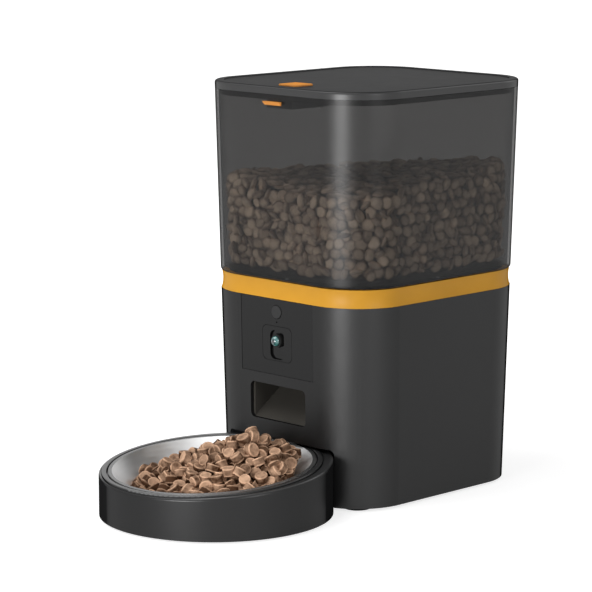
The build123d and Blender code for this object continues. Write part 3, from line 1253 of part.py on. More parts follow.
# Lock bolt with the ramp that the button's cam drives forward
BOLT_TIP = half_depth(BOLT_MID) - WALL - BOLT_TIP_GAP
with BuildPart() as latch_bolt:
    with BuildSketch(at(0, -(BOLT_TIP + BOLT_BACK) / 2, BOLT_LOW)):
        Rectangle(BOLT_WIDTH, BOLT_TIP - BOLT_BACK)
    extrude(amount=BOLT_THICK)
    with BuildSketch(profile_plane(-RAMP_HALF)):
        with BuildLine():
            Polyline(
                (-RAMP_FRONT, BOLT_TOP),
                (-RAMP_FOOT, BOLT_TOP),
                (-RAMP_FOOT - LATCH_RATIO * RAMP_TALL, BOLT_TOP + RAMP_TALL),
                (-RAMP_FRONT, BOLT_TOP + RAMP_TALL),
                close=True,
            )
        make_face()
    extrude(amount=2 * RAMP_HALF)
keep(latch_bolt.part, "latch_bolt")

# Return spring in front of the ramp
with BuildPart() as latch_spring:
    with BuildSketch(Plane((0, BODY_Y - RAMP_FRONT, SPRING_HEIGHT), x_dir=(1, 0, 0), z_dir=(0, -1, 0))):
        Circle(SPRING_RADIUS)
        Circle(SPRING_RADIUS - SPRING_WIRE, mode=Mode.SUBTRACT)
    extrude(amount=SPRING_LENGTH)
keep(latch_spring.part, "latch_spring")

# Latch tub that carries the bolt under the lid
with BuildPart() as latch_tub:
    with BuildSketch(at(0, -(TUB_FRONT + TUB_BACK) / 2, TUB_LOW)):
        Rectangle(2 * TUB_HALF_WIDTH, TUB_FRONT - TUB_BACK)
    extrude(amount=LID_UNDERSIDE - TUB_LOW)
    with BuildSketch(at(0, -(TUB_FRONT + TUB_BACK) / 2, TUB_LOW + TUB_WALL)):
        Rectangle(2 * (TUB_HALF_WIDTH - TUB_WALL), TUB_FRONT - TUB_BACK - 2 * TUB_WALL)
    extrude(amount=LID_UNDERSIDE - TUB_LOW - TUB_WALL, mode=Mode.SUBTRACT)
    with BuildSketch(Plane((0, BODY_Y - RAMP_FRONT, BOLT_MID), x_dir=(1, 0, 0), z_dir=(0, -1, 0))):
        Rectangle(BOLT_WIDTH + 2 * LATCH_SLOT_GAP, BOLT_THICK + 2 * LATCH_SLOT_GAP)
    extrude(amount=2 * (TUB_FRONT - RAMP_FRONT), mode=Mode.SUBTRACT)
    with BuildSketch(at(0, TUB_BOSS_Y, TUB_LOW)):
        with Locations((TUB_BOSS_X, 0), (-TUB_BOSS_X, 0)):
            Circle(TUB_SCREW_RADIUS + SCREW_HOLE_GAP)
    extrude(amount=TUB_WALL, mode=Mode.SUBTRACT)
keep(latch_tub.part, "latch_tub")

# Screws that hold the latch tub
with BuildPart() as lid_screws:
    with BuildSketch(at(0, TUB_BOSS_Y, TUB_LOW)):
        with Locations((TUB_BOSS_X, 0), (-TUB_BOSS_X, 0)):
            Circle(TUB_SCREW_HEAD_RADIUS)
    extrude(amount=-TUB_SCREW_HEAD_TALL)
    with BuildSketch(at(0, TUB_BOSS_Y, TUB_LOW)):
        with Locations((TUB_BOSS_X, 0), (-TUB_BOSS_X, 0)):
            Circle(TUB_SCREW_RADIUS)
    extrude(amount=TUB_SCREW_LENGTH)
keep(lid_screws.part, "lid_screws")

# Pot for the drying agent under the lid, and its slotted turning cap
with BuildPart() as desiccant_pot:
    with BuildSketch(at(0, POT_Y, POT_LOW)):
        Circle(POT_RADIUS)
        Circle(POT_RADIUS - POT_WALL, mode=Mode.SUBTRACT)
    extrude(amount=LID_UNDERSIDE - POT_LOW)
keep(desiccant_pot.part, "desiccant_pot")

with BuildPart() as desiccant_cap:
    with BuildSketch(at(0, POT_Y, POT_LOW)):
        Circle(POT_RADIUS - POT_WALL - POT_CAP_GAP)
        with PolarLocations(POT_SLOT_RING, POT_SLOTS):
            SlotOverall(POT_SLOT_LENGTH, POT_SLOT_WIDTH, mode=Mode.SUBTRACT)
    extrude(amount=POT_CAP_THICK)
    with BuildSketch(at(0, POT_Y, POT_LOW)):
        SlotOverall(POT_GRIP_LENGTH, POT_GRIP_WIDTH)
    extrude(amount=-POT_GRIP_TALL)
keep(desiccant_cap.part, "desiccant_cap")

# Bowl tray: a low drum with a sloping shoulder and a raised lip around the bowl, hollow inside
BOWL_AXIS = (0, -sin(radians(BOWL_TILT_DEG)), cos(radians(BOWL_TILT_DEG)))
BOWL_ORIGIN = (0, BODY_Y - BOWL_FORWARD, BOWL_HEIGHT)
BOWL_PLANE = Plane(BOWL_ORIGIN, x_dir=(1, 0, 0), z_dir=BOWL_AXIS)
TRAY_RIM_PLANE = BOWL_PLANE.offset(-BOWL_SHEET - BOWL_SEAT_GAP)
TRAY_TALL = 2 * BOWL_HEIGHT
with BuildPart() as tray_hollow:
    with BuildSketch(at(0, -TRAY_FORWARD, TRAY_PAD_HEIGHT + TRAY_WALL)):
        Circle(TRAY_RADIUS - TRAY_WALL)
    extrude(amount=TRAY_TALL)
    split(bisect_by=TRAY_RIM_PLANE.offset(-TRAY_WALL), keep=Keep.BOTTOM)

with BuildPart() as tray_lip:
    with BuildSketch(TRAY_RIM_PLANE.offset(-TRAY_EDGE_RADIUS)):
        Circle(LIP_RADIUS)
        Circle(LIP_INNER_RADIUS, mode=Mode.SUBTRACT)
    extrude(amount=TRAY_EDGE_RADIUS + LIP_RISE)
    fillet(tray_lip.faces().sort_by(Axis.Z)[-1].edges(), LIP_ROUND)

with BuildPart() as bowl_tray:
    with BuildSketch(at(0, -TRAY_FORWARD, TRAY_PAD_HEIGHT)):
        Circle(TRAY_RADIUS)
    extrude(amount=TRAY_TALL)
    split(bisect_by=TRAY_RIM_PLANE, keep=Keep.BOTTOM)
    fillet(bowl_tray.edges().sort_by(Axis.Z)[-1], TRAY_EDGE_RADIUS)
    add(tray_hollow.part, mode=Mode.SUBTRACT)
    with BuildSketch(TRAY_RIM_PLANE):
        Circle(BOWL_MOUTH_RADIUS + BOWL_WELL_GAP)
    extrude(amount=-2 * TRAY_WALL, mode=Mode.SUBTRACT)
    with BuildSketch(TRAY_RIM_PLANE):
        Circle(LIP_INNER_RADIUS)
        Circle(BOWL_FLANGE_RADIUS, mode=Mode.SUBTRACT)
    extrude(amount=-LIP_GAP_DEPTH, mode=Mode.SUBTRACT)
    with BuildSketch(TRAY_RIM_PLANE):
        Circle(LIP_RADIUS + LIP_GROOVE_WIDTH)
        Circle(LIP_RADIUS, mode=Mode.SUBTRACT)
    extrude(amount=-LIP_GROOVE_DEPTH, mode=Mode.SUBTRACT)
    add(tray_lip.part)
keep(bowl_tray.part, "bowl_tray")

# Rubber pads under the tray
with BuildPart() as tray_pads:
    with BuildSketch(at(0, -TRAY_FORWARD, 0)):
        with PolarLocations(TRAY_PAD_RING, 4, 45):
            Circle(TRAY_PAD_RADIUS)
    extrude(amount=TRAY_PAD_HEIGHT)
keep(tray_pads.part, "tray_pads")

# Steel bowl: flat flange, leaning wall and flat bottom from one sheet
BOWL_LEAN = (BOWL_MOUTH_RADIUS - BOWL_FLOOR_RADIUS) / BOWL_DEPTH
BOWL_WALL_ACROSS = BOWL_SHEET * sqrt(1 + BOWL_LEAN**2)
BOWL_INNER_FLOOR = BOWL_FLOOR_RADIUS + BOWL_LEAN * BOWL_SHEET - BOWL_WALL_ACROSS
BOWL_INNER_MOUTH = BOWL_MOUTH_RADIUS + BOWL_LEAN * CUT_OVER - BOWL_WALL_ACROSS
with BuildPart() as bowl:
    with BuildSketch(Plane(BOWL_ORIGIN, x_dir=(1, 0, 0), z_dir=-BOWL_PLANE.y_dir)):
        with BuildLine():
            Polyline(
                (0, -BOWL_DEPTH),
                (BOWL_FLOOR_RADIUS, -BOWL_DEPTH),
                (BOWL_MOUTH_RADIUS, 0),
                (0, 0),
                close=True,
            )
        make_face()
        fillet(vertices().group_by(Axis.Y)[0].sort_by(Axis.X)[-1], BOWL_BEND)
        with BuildSketch(mode=Mode.PRIVATE) as bowl_inside:
            with BuildLine():
                Polyline(
                    (0, BOWL_SHEET - BOWL_DEPTH),
                    (BOWL_INNER_FLOOR, BOWL_SHEET - BOWL_DEPTH),
                    (BOWL_INNER_MOUTH, CUT_OVER),
                    (0, CUT_OVER),
                    close=True,
                )
            make_face()
            fillet(vertices().group_by(Axis.Y)[0].sort_by(Axis.X)[-1], BOWL_BEND - BOWL_SHEET)
        with Locations(((BOWL_INNER_MOUTH + BOWL_FLANGE_RADIUS) / 2, -BOWL_SHEET / 2)):
            Rectangle(BOWL_FLANGE_RADIUS - BOWL_INNER_MOUTH, BOWL_SHEET)
        add(bowl_inside.sketch_local, mode=Mode.SUBTRACT)
    revolve(axis=Axis(BOWL_ORIGIN, BOWL_AXIS))
keep(bowl.part, "bowl")
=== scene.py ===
"""Looks of the automatic pet feeder: finishes, dry food as its contents, floor, light and camera."""
import json
import math

import bpy
import numpy as np
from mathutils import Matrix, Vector


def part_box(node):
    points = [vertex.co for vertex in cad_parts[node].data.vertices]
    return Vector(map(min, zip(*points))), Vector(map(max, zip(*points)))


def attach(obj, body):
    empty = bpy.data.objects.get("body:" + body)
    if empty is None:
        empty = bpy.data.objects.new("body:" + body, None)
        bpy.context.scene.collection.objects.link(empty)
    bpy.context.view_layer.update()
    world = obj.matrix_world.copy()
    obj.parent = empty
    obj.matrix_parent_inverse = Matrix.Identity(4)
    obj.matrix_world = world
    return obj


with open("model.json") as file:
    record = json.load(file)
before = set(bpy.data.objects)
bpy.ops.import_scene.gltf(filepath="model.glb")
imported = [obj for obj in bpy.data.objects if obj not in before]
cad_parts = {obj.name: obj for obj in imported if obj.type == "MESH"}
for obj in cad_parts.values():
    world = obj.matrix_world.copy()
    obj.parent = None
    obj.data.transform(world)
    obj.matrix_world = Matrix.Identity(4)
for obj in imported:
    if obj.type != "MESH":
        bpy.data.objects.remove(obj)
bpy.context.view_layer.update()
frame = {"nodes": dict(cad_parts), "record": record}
scene = bpy.context.scene
nodes = frame["nodes"]
chance = np.random.default_rng(7)
MM = 0.001
FULL_TURN = 2 * math.pi

# Places taken from the solids, in metres
shell_low, shell_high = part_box("base_shell")
lens_low, lens_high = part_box("camera_lens")
BODY_Y = (shell_low.y + shell_high.y) / 2
LENS_CENTRE = (lens_low + lens_high) / 2
LENS_RADIUS = (lens_high.x - lens_low.x) / 2

# Camera of the photo
CAMERA_PLACE = (1.36720, -1.36106, 0.47987)
CAMERA_TURN_DEG = 45.270
CAMERA_DROP_DEG = 9.729
CAMERA_LENS = 161.54
CAMERA_SENSOR = 36.0
CAMERA_SIGHT = 50.0

# Lamps: turn and rise in degrees, then distance, width, height and power
LAMPS = {
    "front_strip": (12, 0, 1.3, 0.5, 0.28, 10),
    "key_box": (-35, 62, 2.2, 1.6, 1.6, 32),
    "right_strip": (78, 14, 2.2, 0.4, 0.9, 11),
    "rear_box": (165, 30, 2.2, 1.2, 1.2, 8),
}
LAMP_AIM_HEIGHT = 0.15
WORLD_SEEN = 1.0
WORLD_LIGHT = 0.22
WHITE = (1.0, 1.0, 1.0, 1.0)

# Floor, and how brightly it shows by itself close to the feeder and far off
FLOOR_SIZE = 12.0
FLOOR_COLOUR = (0.5, 0.5, 0.5)
FLOOR_SPREAD = 0.01
FLOOR_CLOUDS = 6.0
FLOOR_ROUGHNESS = 0.9
FLOOR_GLOW = (0.74, 1.0)
FLOOR_GLOW_REACH = (0.3, 1.0)

# Sheen by angle: 0 is seen straight and 1 edge-on, and for faces that look up the normal's height counts
SIDE_FADE = (0.35, 0.78)
STRAIGHT_FADE = (0.05, 0.3)
UPPER_FACES = (0.55, 0.9)
# Normal heights over which metal faces that look up get their painted shade
PAINTED_SHADE_FACES = (0.85, 0.97)

# Moulded plastic; noise scales are per metre
SHADE_STOPS = (0.3, 0.7)
CLOUD_SCALE = 24.0
SHEEN_SCALE = 90.0
SHEEN_SPREAD = 0.07
GRAIN_DETAIL = 2.0
GRAIN_HEIGHT = 0.06 * MM
GREY = (0.0075, 0.0075, 0.0077)

# Brushed metal
BRUSH_SCALE = 60.0
BRUSH_DETAIL = 6.0
BRUSH_SPREAD = 0.05
BRUSH_ROUGHNESS_SPREAD = 0.2
BRUSH_RELIEF = 0.05
BRUSH_HEIGHT = 0.05 * MM

# Smoky see-through plastic
SMOKE = (0.005, 0.005, 0.0052)
SMOKE_SPREAD = 0.05
SMOKE_CLOUDS = 14.0
SMOKE_ROUGHNESS = (0.36, 0.4)
SMOKE_GLOSS = 0.4
SMOKE_CLEAR = (0.89, 0.885, 0.88, 1.0)
SMOKE_OPACITY = (0.53, 0.82)
SMOKE_OPACITY_ANGLE = (0.45, 0.9)
SMOKE_OPACITY_TO_LAMPS = 0.05

# Camera lens, from its middle to its edge
LENS_STOPS = [
    (0.0, (0.004, 0.006, 0.01)),
    (0.35, (0.01, 0.03, 0.035)),
    (0.6, (0.03, 0.13, 0.13)),
    (0.85, (0.05, 0.19, 0.18)),
    (1.0, (0.01, 0.02, 0.02)),
]
LENS_ROUGHNESS = 0.05
LENS_COAT_ROUGHNESS = 0.02

# Surface of the dry food
FOOD_STOPS = (0.32, 0.7)
FOOD_BLOTCH_SHARE = 0.5
FOOD_BLOTCH_DETAIL = 4.0
FOOD_ROUGHNESS = 0.75
FOOD_GLOSS = 0.1
FOOD_RELIEF = 0.8
FOOD_RELIEF_HEIGHT = 0.5 * MM
FOOD_RELIEF_FINER = 2.5
PIECE_SQUEEZE = (0.88, 1.1)
# Share of each piece's tone that follows its lighter parts and its painted shade; the rest is random
PIECE_CRUST_AND_SHADE_SHARE = 0.5

# Food in the hopper: level, and how it lies behind the walls
FILL_LOW = 169 * MM
FILL_TOP = 233 * MM
FILL_LEAN_X = 0.028
FILL_LEAN_Y = 0.031
FILL_TWIST = 0.9
HOPPER_WALL = 2.6 * MM
FLOOR_HALF_WIDTH = 80.9 * MM
FLOOR_HALF_DEPTH = 91.8 * MM
CORNER_RADIUS = 42.3 * MM
DRAFT = math.tan(math.radians(1.15))
CORE_INSET = 14.0 * MM
CORE_STEPS = 64

# Pebbles: half profile in radii, sizes, and how evenly they lie
PEBBLE_HALF = [(0, 0.38), (0.45, 0.36), (0.74, 0.3), (0.92, 0.19), (1.0, 0.06)]
PEBBLE_SEGMENTS = 10
# Width of the painted shade round each pebble's edge, in radii
PEBBLE_SHADE_EDGE = 0.4
PEBBLE_RADIUS = 4.8 * MM
PEBBLE_SIZES = (0.85, 1.12)
PEBBLE_PITCH = 8.4 * MM
PEBBLE_LAYERS = (6.2 * MM, 10.5 * MM)
ROW_PITCH = PEBBLE_PITCH * 0.86
ROW_SHIFT = 0.2
ROW_TILT = 0.55
ROW_SINK = 1.5 * MM
ROW_RISE = 1.6 * MM
TOP_PITCH = PEBBLE_PITCH * 0.9
TOP_SHIFT = 2.0 * MM
TOP_TILT = 0.18

# Bowl: its axis, its tilted rim and its inner face
BOWL_AXIS_Y = BODY_Y - 159.35 * MM
BOWL_RIM_HEIGHT = 37.7 * MM
BOWL_SLOPE = 0.0731
BOWL_DEPTH = 26.0 * MM
BOWL_FLOOR_RADIUS = 46.5 * MM
BOWL_MOUTH_RADIUS = 72.0 * MM

# Biscuits: half profile in radii, and where they are lighter: worn rims most, faces less, and the sides
# get painted shade
BISCUIT_HALF = [(0, 0.55), (0.5, 0.56), (0.72, 0.58), (0.86, 0.65), (0.95, 0.64), (1.0, 0.54), (1.0, 0.38)]
BISCUIT_SEGMENTS = 13
BISCUIT_RADIUS = 4.6 * MM
BISCUIT_SIZES = (0.9, 1.08)
BISCUIT_TILT = 0.7
RIM_HEIGHT = 0.4
RIM_REACH = 0.8
RIM_CRUST = 1.0
FACE_CRUST = 0.62
SHADED_SIDE_SHARE = 0.0

# Heap of biscuits in the bowl; pieces higher than LOOSE_ABOVE over the bowl lie as they fall
HEAP_PEAK = (18 * MM, 20 * MM)
HEAP_TOP = 63 * MM
HEAP_FALL = 0.44
HEAP_REACH = 60 * MM
HEAP_TRIES = 30
HEAP_MOST = 900
HEAP_REST = BISCUIT_RADIUS * 0.8
LOOSE_ABOVE = 2.4 * MM


# Node helpers
def new_material(name):
    """Empty node material with a Principled shader wired to its output."""
    material = bpy.data.materials.new(name)
    material.use_nodes = True
    tree = material.node_tree
    tree.nodes.clear()
    output = tree.nodes.new("ShaderNodeOutputMaterial")
    shader = tree.nodes.new("ShaderNodeBsdfPrincipled")
    tree.links.new(shader.outputs["BSDF"], output.inputs["Surface"])
    return material, tree, shader, output


def feed(tree, socket, value):
    """Give a socket the output of another node, or a fixed value."""
    if isinstance(value, bpy.types.NodeSocket):
        tree.links.new(value, socket)
    else:
        socket.default_value = value


def number_step(tree, operation, *values):
    """Result of a step with numbers; each value is a socket or a number."""
    node = tree.nodes.new("ShaderNodeMath")
    node.operation = operation
    for socket, value in zip(node.inputs, values):
        feed(tree, socket, value)
    return node.outputs["Value"]


def vector_step(tree, operation, *values):
    """Node of a step with vectors; each value is a socket or a vector."""
    node = tree.nodes.new("ShaderNodeVectorMath")
    node.operation = operation
    for socket, value in zip(node.inputs, values):
        feed(tree, socket, value)
    return node


def object_place(tree):
    """Place on the piece, in metres of the shared frame."""
    return tree.nodes.new("ShaderNodeTexCoord").outputs["Object"]


def noise(tree, place, scale, detail=3.0):
    """Noise value over the piece."""
    node = tree.nodes.new("ShaderNodeTexNoise")
    node.inputs["Scale"].default_value = scale
    node.inputs["Detail"].default_value = detail
    tree.links.new(place, node.inputs["Vector"])
    return node.outputs["Fac"]


def colour_ramp(tree, value, stops):
    """Colours along a value; stops are (position, (r, g, b))."""
    node = tree.nodes.new("ShaderNodeValToRGB")
    while len(node.color_ramp.elements) < len(stops):
        node.color_ramp.elements.new(0.5)
    for element, (position, colour) in zip(node.color_ramp.elements, stops):
        element.position = position
        element.color = (*colour, 1.0)
    tree.links.new(value, node.inputs["Fac"])
    return node.outputs["Color"]


def value_range(tree, value, wanted, given=(0.0, 1.0)):
    """A value moved from the given range to the wanted one."""
    node = tree.nodes.new("ShaderNodeMapRange")
    for name, limit in zip(("From Min", "From Max", "To Min", "To Max"), (*given, *wanted)):
        node.inputs[name].default_value = limit
    tree.links.new(value, node.inputs["Value"])
    return node.outputs["Result"]


def bump(tree, height, strength, distance):
    """Surface normal with small relief."""
    node = tree.nodes.new("ShaderNodeBump")
    node.inputs["Strength"].default_value = strength
    node.inputs["Distance"].default_value = distance
    tree.links.new(height, node.inputs["Height"])
    return node.outputs["Normal"]


def blend(tree, share, first, second):
    """First value where the share is 0, second where it is 1; each is a socket or a number."""
    node = tree.nodes.new("ShaderNodeMix")
    node.data_type = "FLOAT"
    tree.links.new(share, node.inputs[0])
    feed(tree, node.inputs[2], first)
    feed(tree, node.inputs[3], second)
    return node.outputs[0]


def mix_shaders(tree, share, first, second):
    """First shader where the share is 0, second where it is 1."""
    node = tree.nodes.new("ShaderNodeMixShader")
    tree.links.new(share, node.inputs["Fac"])
    tree.links.new(first, node.inputs[1])
    tree.links.new(second, node.inputs[2])
    return node.outputs["Shader"]


def around(value, spread):
    """A value made smaller and larger by a share of itself."""
    return value * (1 - spread), value * (1 + spread)


def shades(colour, spread):
    """Colour stops from a darker to a lighter version of a colour."""
    darker_and_lighter = zip(*(around(part, spread) for part in colour))
    return list(zip(SHADE_STOPS, darker_and_lighter))


def edge_on(tree):
    """0 where a surface is seen straight, 1 where it is seen edge-on."""
    facing = tree.nodes.new("ShaderNodeLayerWeight")
    facing.inputs["Blend"].default_value = 0.5
    return facing.outputs["Facing"]


def upward(tree, normal_heights):
    """0 on sides, 1 on faces that look up; between them by the height of the surface's normal."""
    split = tree.nodes.new("ShaderNodeSeparateXYZ")
    tree.links.new(tree.nodes.new("ShaderNodeNewGeometry").outputs["Normal"], split.inputs["Vector"])
    return value_range(tree, split.outputs["Z"], (0.0, 1.0), normal_heights)


def satin_gloss(tree, gloss, fade=SIDE_FADE, straight_gloss=0.0, top_gloss=0.0):
    """Gloss of a satin surface: less where seen edge-on, more where seen straight, its own on top."""
    angle = edge_on(tree)
    fading = value_range(tree, angle, (gloss, 0.0), fade)
    straight = value_range(tree, angle, (straight_gloss, 0.0), STRAIGHT_FADE)
    sides = number_step(tree, "ADD", fading, straight)
    return blend(tree, upward(tree, UPPER_FACES), sides, top_gloss)


# Finishes
def plastic(name, colour, roughness, grain=2600.0, relief=0.12, spread=0.06, gloss=0.12, **sheen_by_angle):
    """Moulded plastic: slight cloudiness, uneven sheen and a fine grain."""
    material, tree, shader, _ = new_material(name)
    place = object_place(tree)
    clouds = noise(tree, place, CLOUD_SCALE)
    sheen = noise(tree, place, SHEEN_SCALE)
    fine = noise(tree, place, grain, GRAIN_DETAIL)
    tree.links.new(colour_ramp(tree, clouds, shades(colour, spread)), shader.inputs["Base Color"])
    tree.links.new(value_range(tree, sheen, around(roughness, SHEEN_SPREAD)), shader.inputs["Roughness"])
    tree.links.new(bump(tree, fine, relief, GRAIN_HEIGHT), shader.inputs["Normal"])
    tree.links.new(satin_gloss(tree, gloss, **sheen_by_angle), shader.inputs["Specular IOR Level"])
    return material


def metal(name, colour, roughness, stretch, painted_top_shade=1.0):
    """Brushed metal: fine lines along one direction; faces that look up can get painted shade, a darker
    colour that stands in for a dimmer reflection.
    """
    material, tree, shader, _ = new_material(name)
    scaled = tree.nodes.new("ShaderNodeMapping")
    scaled.inputs["Scale"].default_value = stretch
    tree.links.new(object_place(tree), scaled.inputs["Vector"])
    lines = noise(tree, scaled.outputs["Vector"], BRUSH_SCALE, BRUSH_DETAIL)
    darker = vector_step(tree, "SCALE", colour_ramp(tree, lines, shades(colour, BRUSH_SPREAD)))
    # Painted shade: the colour is darkened on faces that look up
    tree.links.new(blend(tree, upward(tree, PAINTED_SHADE_FACES), 1.0, painted_top_shade), darker.inputs["Scale"])
    tree.links.new(darker.outputs["Vector"], shader.inputs["Base Color"])
    uneven = value_range(tree, lines, around(roughness, BRUSH_ROUGHNESS_SPREAD))
    tree.links.new(uneven, shader.inputs["Roughness"])
    tree.links.new(bump(tree, lines, BRUSH_RELIEF, BRUSH_HEIGHT), shader.inputs["Normal"])
    shader.inputs["Metallic"].default_value = 1.0
    return material


def smoky_plastic(name):
    """See-through dark plastic of the hopper: a dark sheen over a clear layer that lets light in."""
    material, tree, shader, output = new_material(name)
    clouds = noise(tree, object_place(tree), SMOKE_CLOUDS)
    tree.links.new(colour_ramp(tree, clouds, shades(SMOKE, SMOKE_SPREAD)), shader.inputs["Base Color"])
    tree.links.new(value_range(tree, clouds, SMOKE_ROUGHNESS), shader.inputs["Roughness"])
    tree.links.new(satin_gloss(tree, SMOKE_GLOSS), shader.inputs["Specular IOR Level"])
    clear = tree.nodes.new("ShaderNodeBsdfTransparent")
    clear.inputs["Color"].default_value = SMOKE_CLEAR
    seen = value_range(tree, edge_on(tree), SMOKE_OPACITY, SMOKE_OPACITY_ANGLE)
    to_lamps = tree.nodes.new("ShaderNodeLightPath").outputs["Is Shadow Ray"]
    opacity = blend(tree, to_lamps, seen, SMOKE_OPACITY_TO_LAMPS)
    layers = mix_shaders(tree, opacity, clear.outputs["BSDF"], shader.outputs["BSDF"])
    tree.links.new(layers, output.inputs["Surface"])
    return material


def lens_glass(name):
    """Camera lens: dark eye with a teal ring under a clear dome."""
    material, tree, shader, _ = new_material(name)
    offset = vector_step(tree, "SUBTRACT", object_place(tree), LENS_CENTRE)
    flat = vector_step(tree, "MULTIPLY", offset.outputs["Vector"], (1.0, 0.0, 1.0))
    reach = vector_step(tree, "LENGTH", flat.outputs["Vector"])
    share = value_range(tree, reach.outputs["Value"], (0.0, 1.0), (0.0, LENS_RADIUS))
    tree.links.new(colour_ramp(tree, share, LENS_STOPS), shader.inputs["Base Color"])
    shader.inputs["Roughness"].default_value = LENS_ROUGHNESS
    shader.inputs["Coat Weight"].default_value = 1.0
    shader.inputs["Coat Roughness"].default_value = LENS_COAT_ROUGHNESS
    return material


def food(name, dark, light, grain):
    """Dry food: brown, blotchy and rough, with a tone of its own for each piece that also carries its
    painted shade.
    """
    material, tree, shader, _ = new_material(name)
    place = object_place(tree)
    tone_and_shade = tree.nodes.new("ShaderNodeAttribute")
    tone_and_shade.attribute_name = "piece_tone_and_shade"
    tone_and_shade_share = value_range(tree, tone_and_shade.outputs["Fac"], (0.0, 1.0 - FOOD_BLOTCH_SHARE))
    blotch = noise(tree, place, grain, FOOD_BLOTCH_DETAIL)
    shade = number_step(tree, "MULTIPLY_ADD", blotch, FOOD_BLOTCH_SHARE, tone_and_shade_share)
    brown = colour_ramp(tree, shade, list(zip(FOOD_STOPS, (dark, light))))
    tree.links.new(brown, shader.inputs["Base Color"])
    shader.inputs["Roughness"].default_value = FOOD_ROUGHNESS
    shader.inputs["Specular IOR Level"].default_value = FOOD_GLOSS
    rough = noise(tree, place, grain * FOOD_RELIEF_FINER)
    tree.links.new(bump(tree, rough, FOOD_RELIEF, FOOD_RELIEF_HEIGHT), shader.inputs["Normal"])
    return material


# Finishes by material slot of the record
FINISHES = {
    "base_plastic": plastic("base_finish", GREY, 0.40, gloss=0.225, straight_gloss=0.19),
    "lid_plastic": plastic("lid_finish", (0.022, 0.022, 0.0224), 0.34, gloss=0.36, top_gloss=0.0015),
    "smoke_plastic": smoky_plastic("smoke_finish"),
    "belt_plastic": plastic("belt_finish", (0.55, 0.268, 0.024), 0.42, gloss=0.18),
    "accent_plastic": plastic("accent_finish", (0.80, 0.32, 0.07), 0.4, gloss=0.2),
    "window_plastic": plastic("window_finish", (0.004, 0.004, 0.0042), 0.16, relief=0.03, gloss=0.2),
    "button_plastic": plastic("button_finish", (0.018, 0.018, 0.0185), 0.3, gloss=0.2),
    "lens_glass": lens_glass("lens_finish"),
    "black_plastic": plastic("black_finish", (0.014, 0.014, 0.014), 0.5),
    "rear_plastic": plastic("rear_finish", GREY, 0.44),
    "inner_plastic": plastic("inner_finish", (0.05, 0.05, 0.05), 0.5),
    "rotor_plastic": plastic("rotor_finish", (0.55, 0.26, 0.06), 0.45),
    "gear_plastic": plastic("gear_finish", (0.7, 0.7, 0.66), 0.5),
    "rubber": plastic("rubber_finish", (0.015, 0.015, 0.015), 0.75, grain=1800.0, relief=0.3),
    "board": plastic("board_finish", (0.015, 0.12, 0.05), 0.4),
    "steel": metal("steel_finish", (0.55, 0.55, 0.56), 0.3, (1.0, 1.0, 8.0)),
    "motor_metal": metal("motor_finish", (0.45, 0.45, 0.46), 0.38, (1.0, 1.0, 12.0)),
    "brass": metal("brass_finish", (0.72, 0.52, 0.22), 0.3, (1.0, 1.0, 8.0)),
    # The bowl's flat rim gets painted shade: on faces that look up its colour is cut to a quarter
    "bowl_steel": metal("bowl_finish", (0.7, 0.7, 0.7), 0.4, (1.0, 1.0, 5.0), painted_top_shade=0.25),
}
# Pieces with a finish of their own: the chute's inside shows in the outlet, and the tray's lip is glossier
OWN_FINISHES = {
    "outlet_chute": plastic("chute_finish", (0.045, 0.042, 0.037), 0.5),
    "bowl_tray": plastic(
        "tray_finish", (0.011, 0.011, 0.0113), 0.33, gloss=0.3, fade=(0.03, 0.66), top_gloss=0.9
    ),
}
for entry in frame["record"]["subparts"]:
    mesh = nodes[entry["node"]].data
    mesh.materials.clear()
    mesh.materials.append(OWN_FINISHES.get(entry["node"], FINISHES[entry["material_slot"]]))


# Shapes of the food
def both_halves(half):
    """Whole profile of a piece that is the same above and below its middle."""
    return half + [(radius, -height) for radius, height in reversed(half)]


def turned_shape(profile, segments):
    """Points and faces of a closed round shape; the profile runs from top pole to bottom pole."""
    points = [(0.0, 0.0, profile[0][1])]
    for radius, height in profile[1:-1]:
        for step in range(segments):
            angle = FULL_TURN * step / segments
            points.append((radius * math.cos(angle), radius * math.sin(angle), height))
    points.append((0.0, 0.0, profile[-1][1]))
    rings = len(profile) - 2
    last = len(points) - 1
    faces = []
    for step in range(segments):
        after = (step + 1) % segments
        faces.append((0, 1 + step, 1 + after))
        for ring in range(rings - 1):
            upper = 1 + ring * segments
            lower = upper + segments
            faces.append((upper + step, lower + step, lower + after, upper + after))
        end = 1 + (rings - 1) * segments
        faces.append((last, end + after, end + step))
    return np.array(points), faces


def turn_matrix(towards, spin):
    """Rotation that brings +Z towards a direction, after a spin about it."""
    towards = towards / np.linalg.norm(towards)
    helper = np.array([1.0, 0.0, 0.0]) if abs(towards[0]) < 0.9 else np.array([0.0, 1.0, 0.0])
    side = np.cross(helper, towards)
    side = side / np.linalg.norm(side)
    other = np.cross(towards, side)
    c, s = math.cos(spin), math.sin(spin)
    return np.column_stack([side * c + other * s, other * c - side * s, towards])


def biscuit_crust_and_shade(points):
    """Share of lighter colour at each point of a biscuit: most on the worn rims, less on the faces, least
    on the side, where shade is painted.
    """
    reach = np.hypot(points[:, 0], points[:, 1])
    on_face = np.abs(points[:, 2]) > RIM_HEIGHT
    share = np.where(on_face, FACE_CRUST, SHADED_SIDE_SHARE)
    return np.where((reach > RIM_REACH) & on_face, RIM_CRUST, share)


def pebble_painted_shade(points):
    """Share of lighter colour at each point of a pebble: most on its faces, least round its edge, where
    shade is painted.
    """
    reach = np.hypot(points[:, 0], points[:, 1])
    return np.clip((1.0 - reach) / PEBBLE_SHADE_EDGE, 0.0, 1.0)


def new_piece(name, points, faces, material):
    """Mesh object with one material, in the scene."""
    mesh = bpy.data.meshes.new(name)
    mesh.from_pydata(points, [], faces)
    mesh.materials.append(material)
    piece = bpy.data.objects.new(name, mesh)
    scene.collection.objects.link(piece)
    return piece


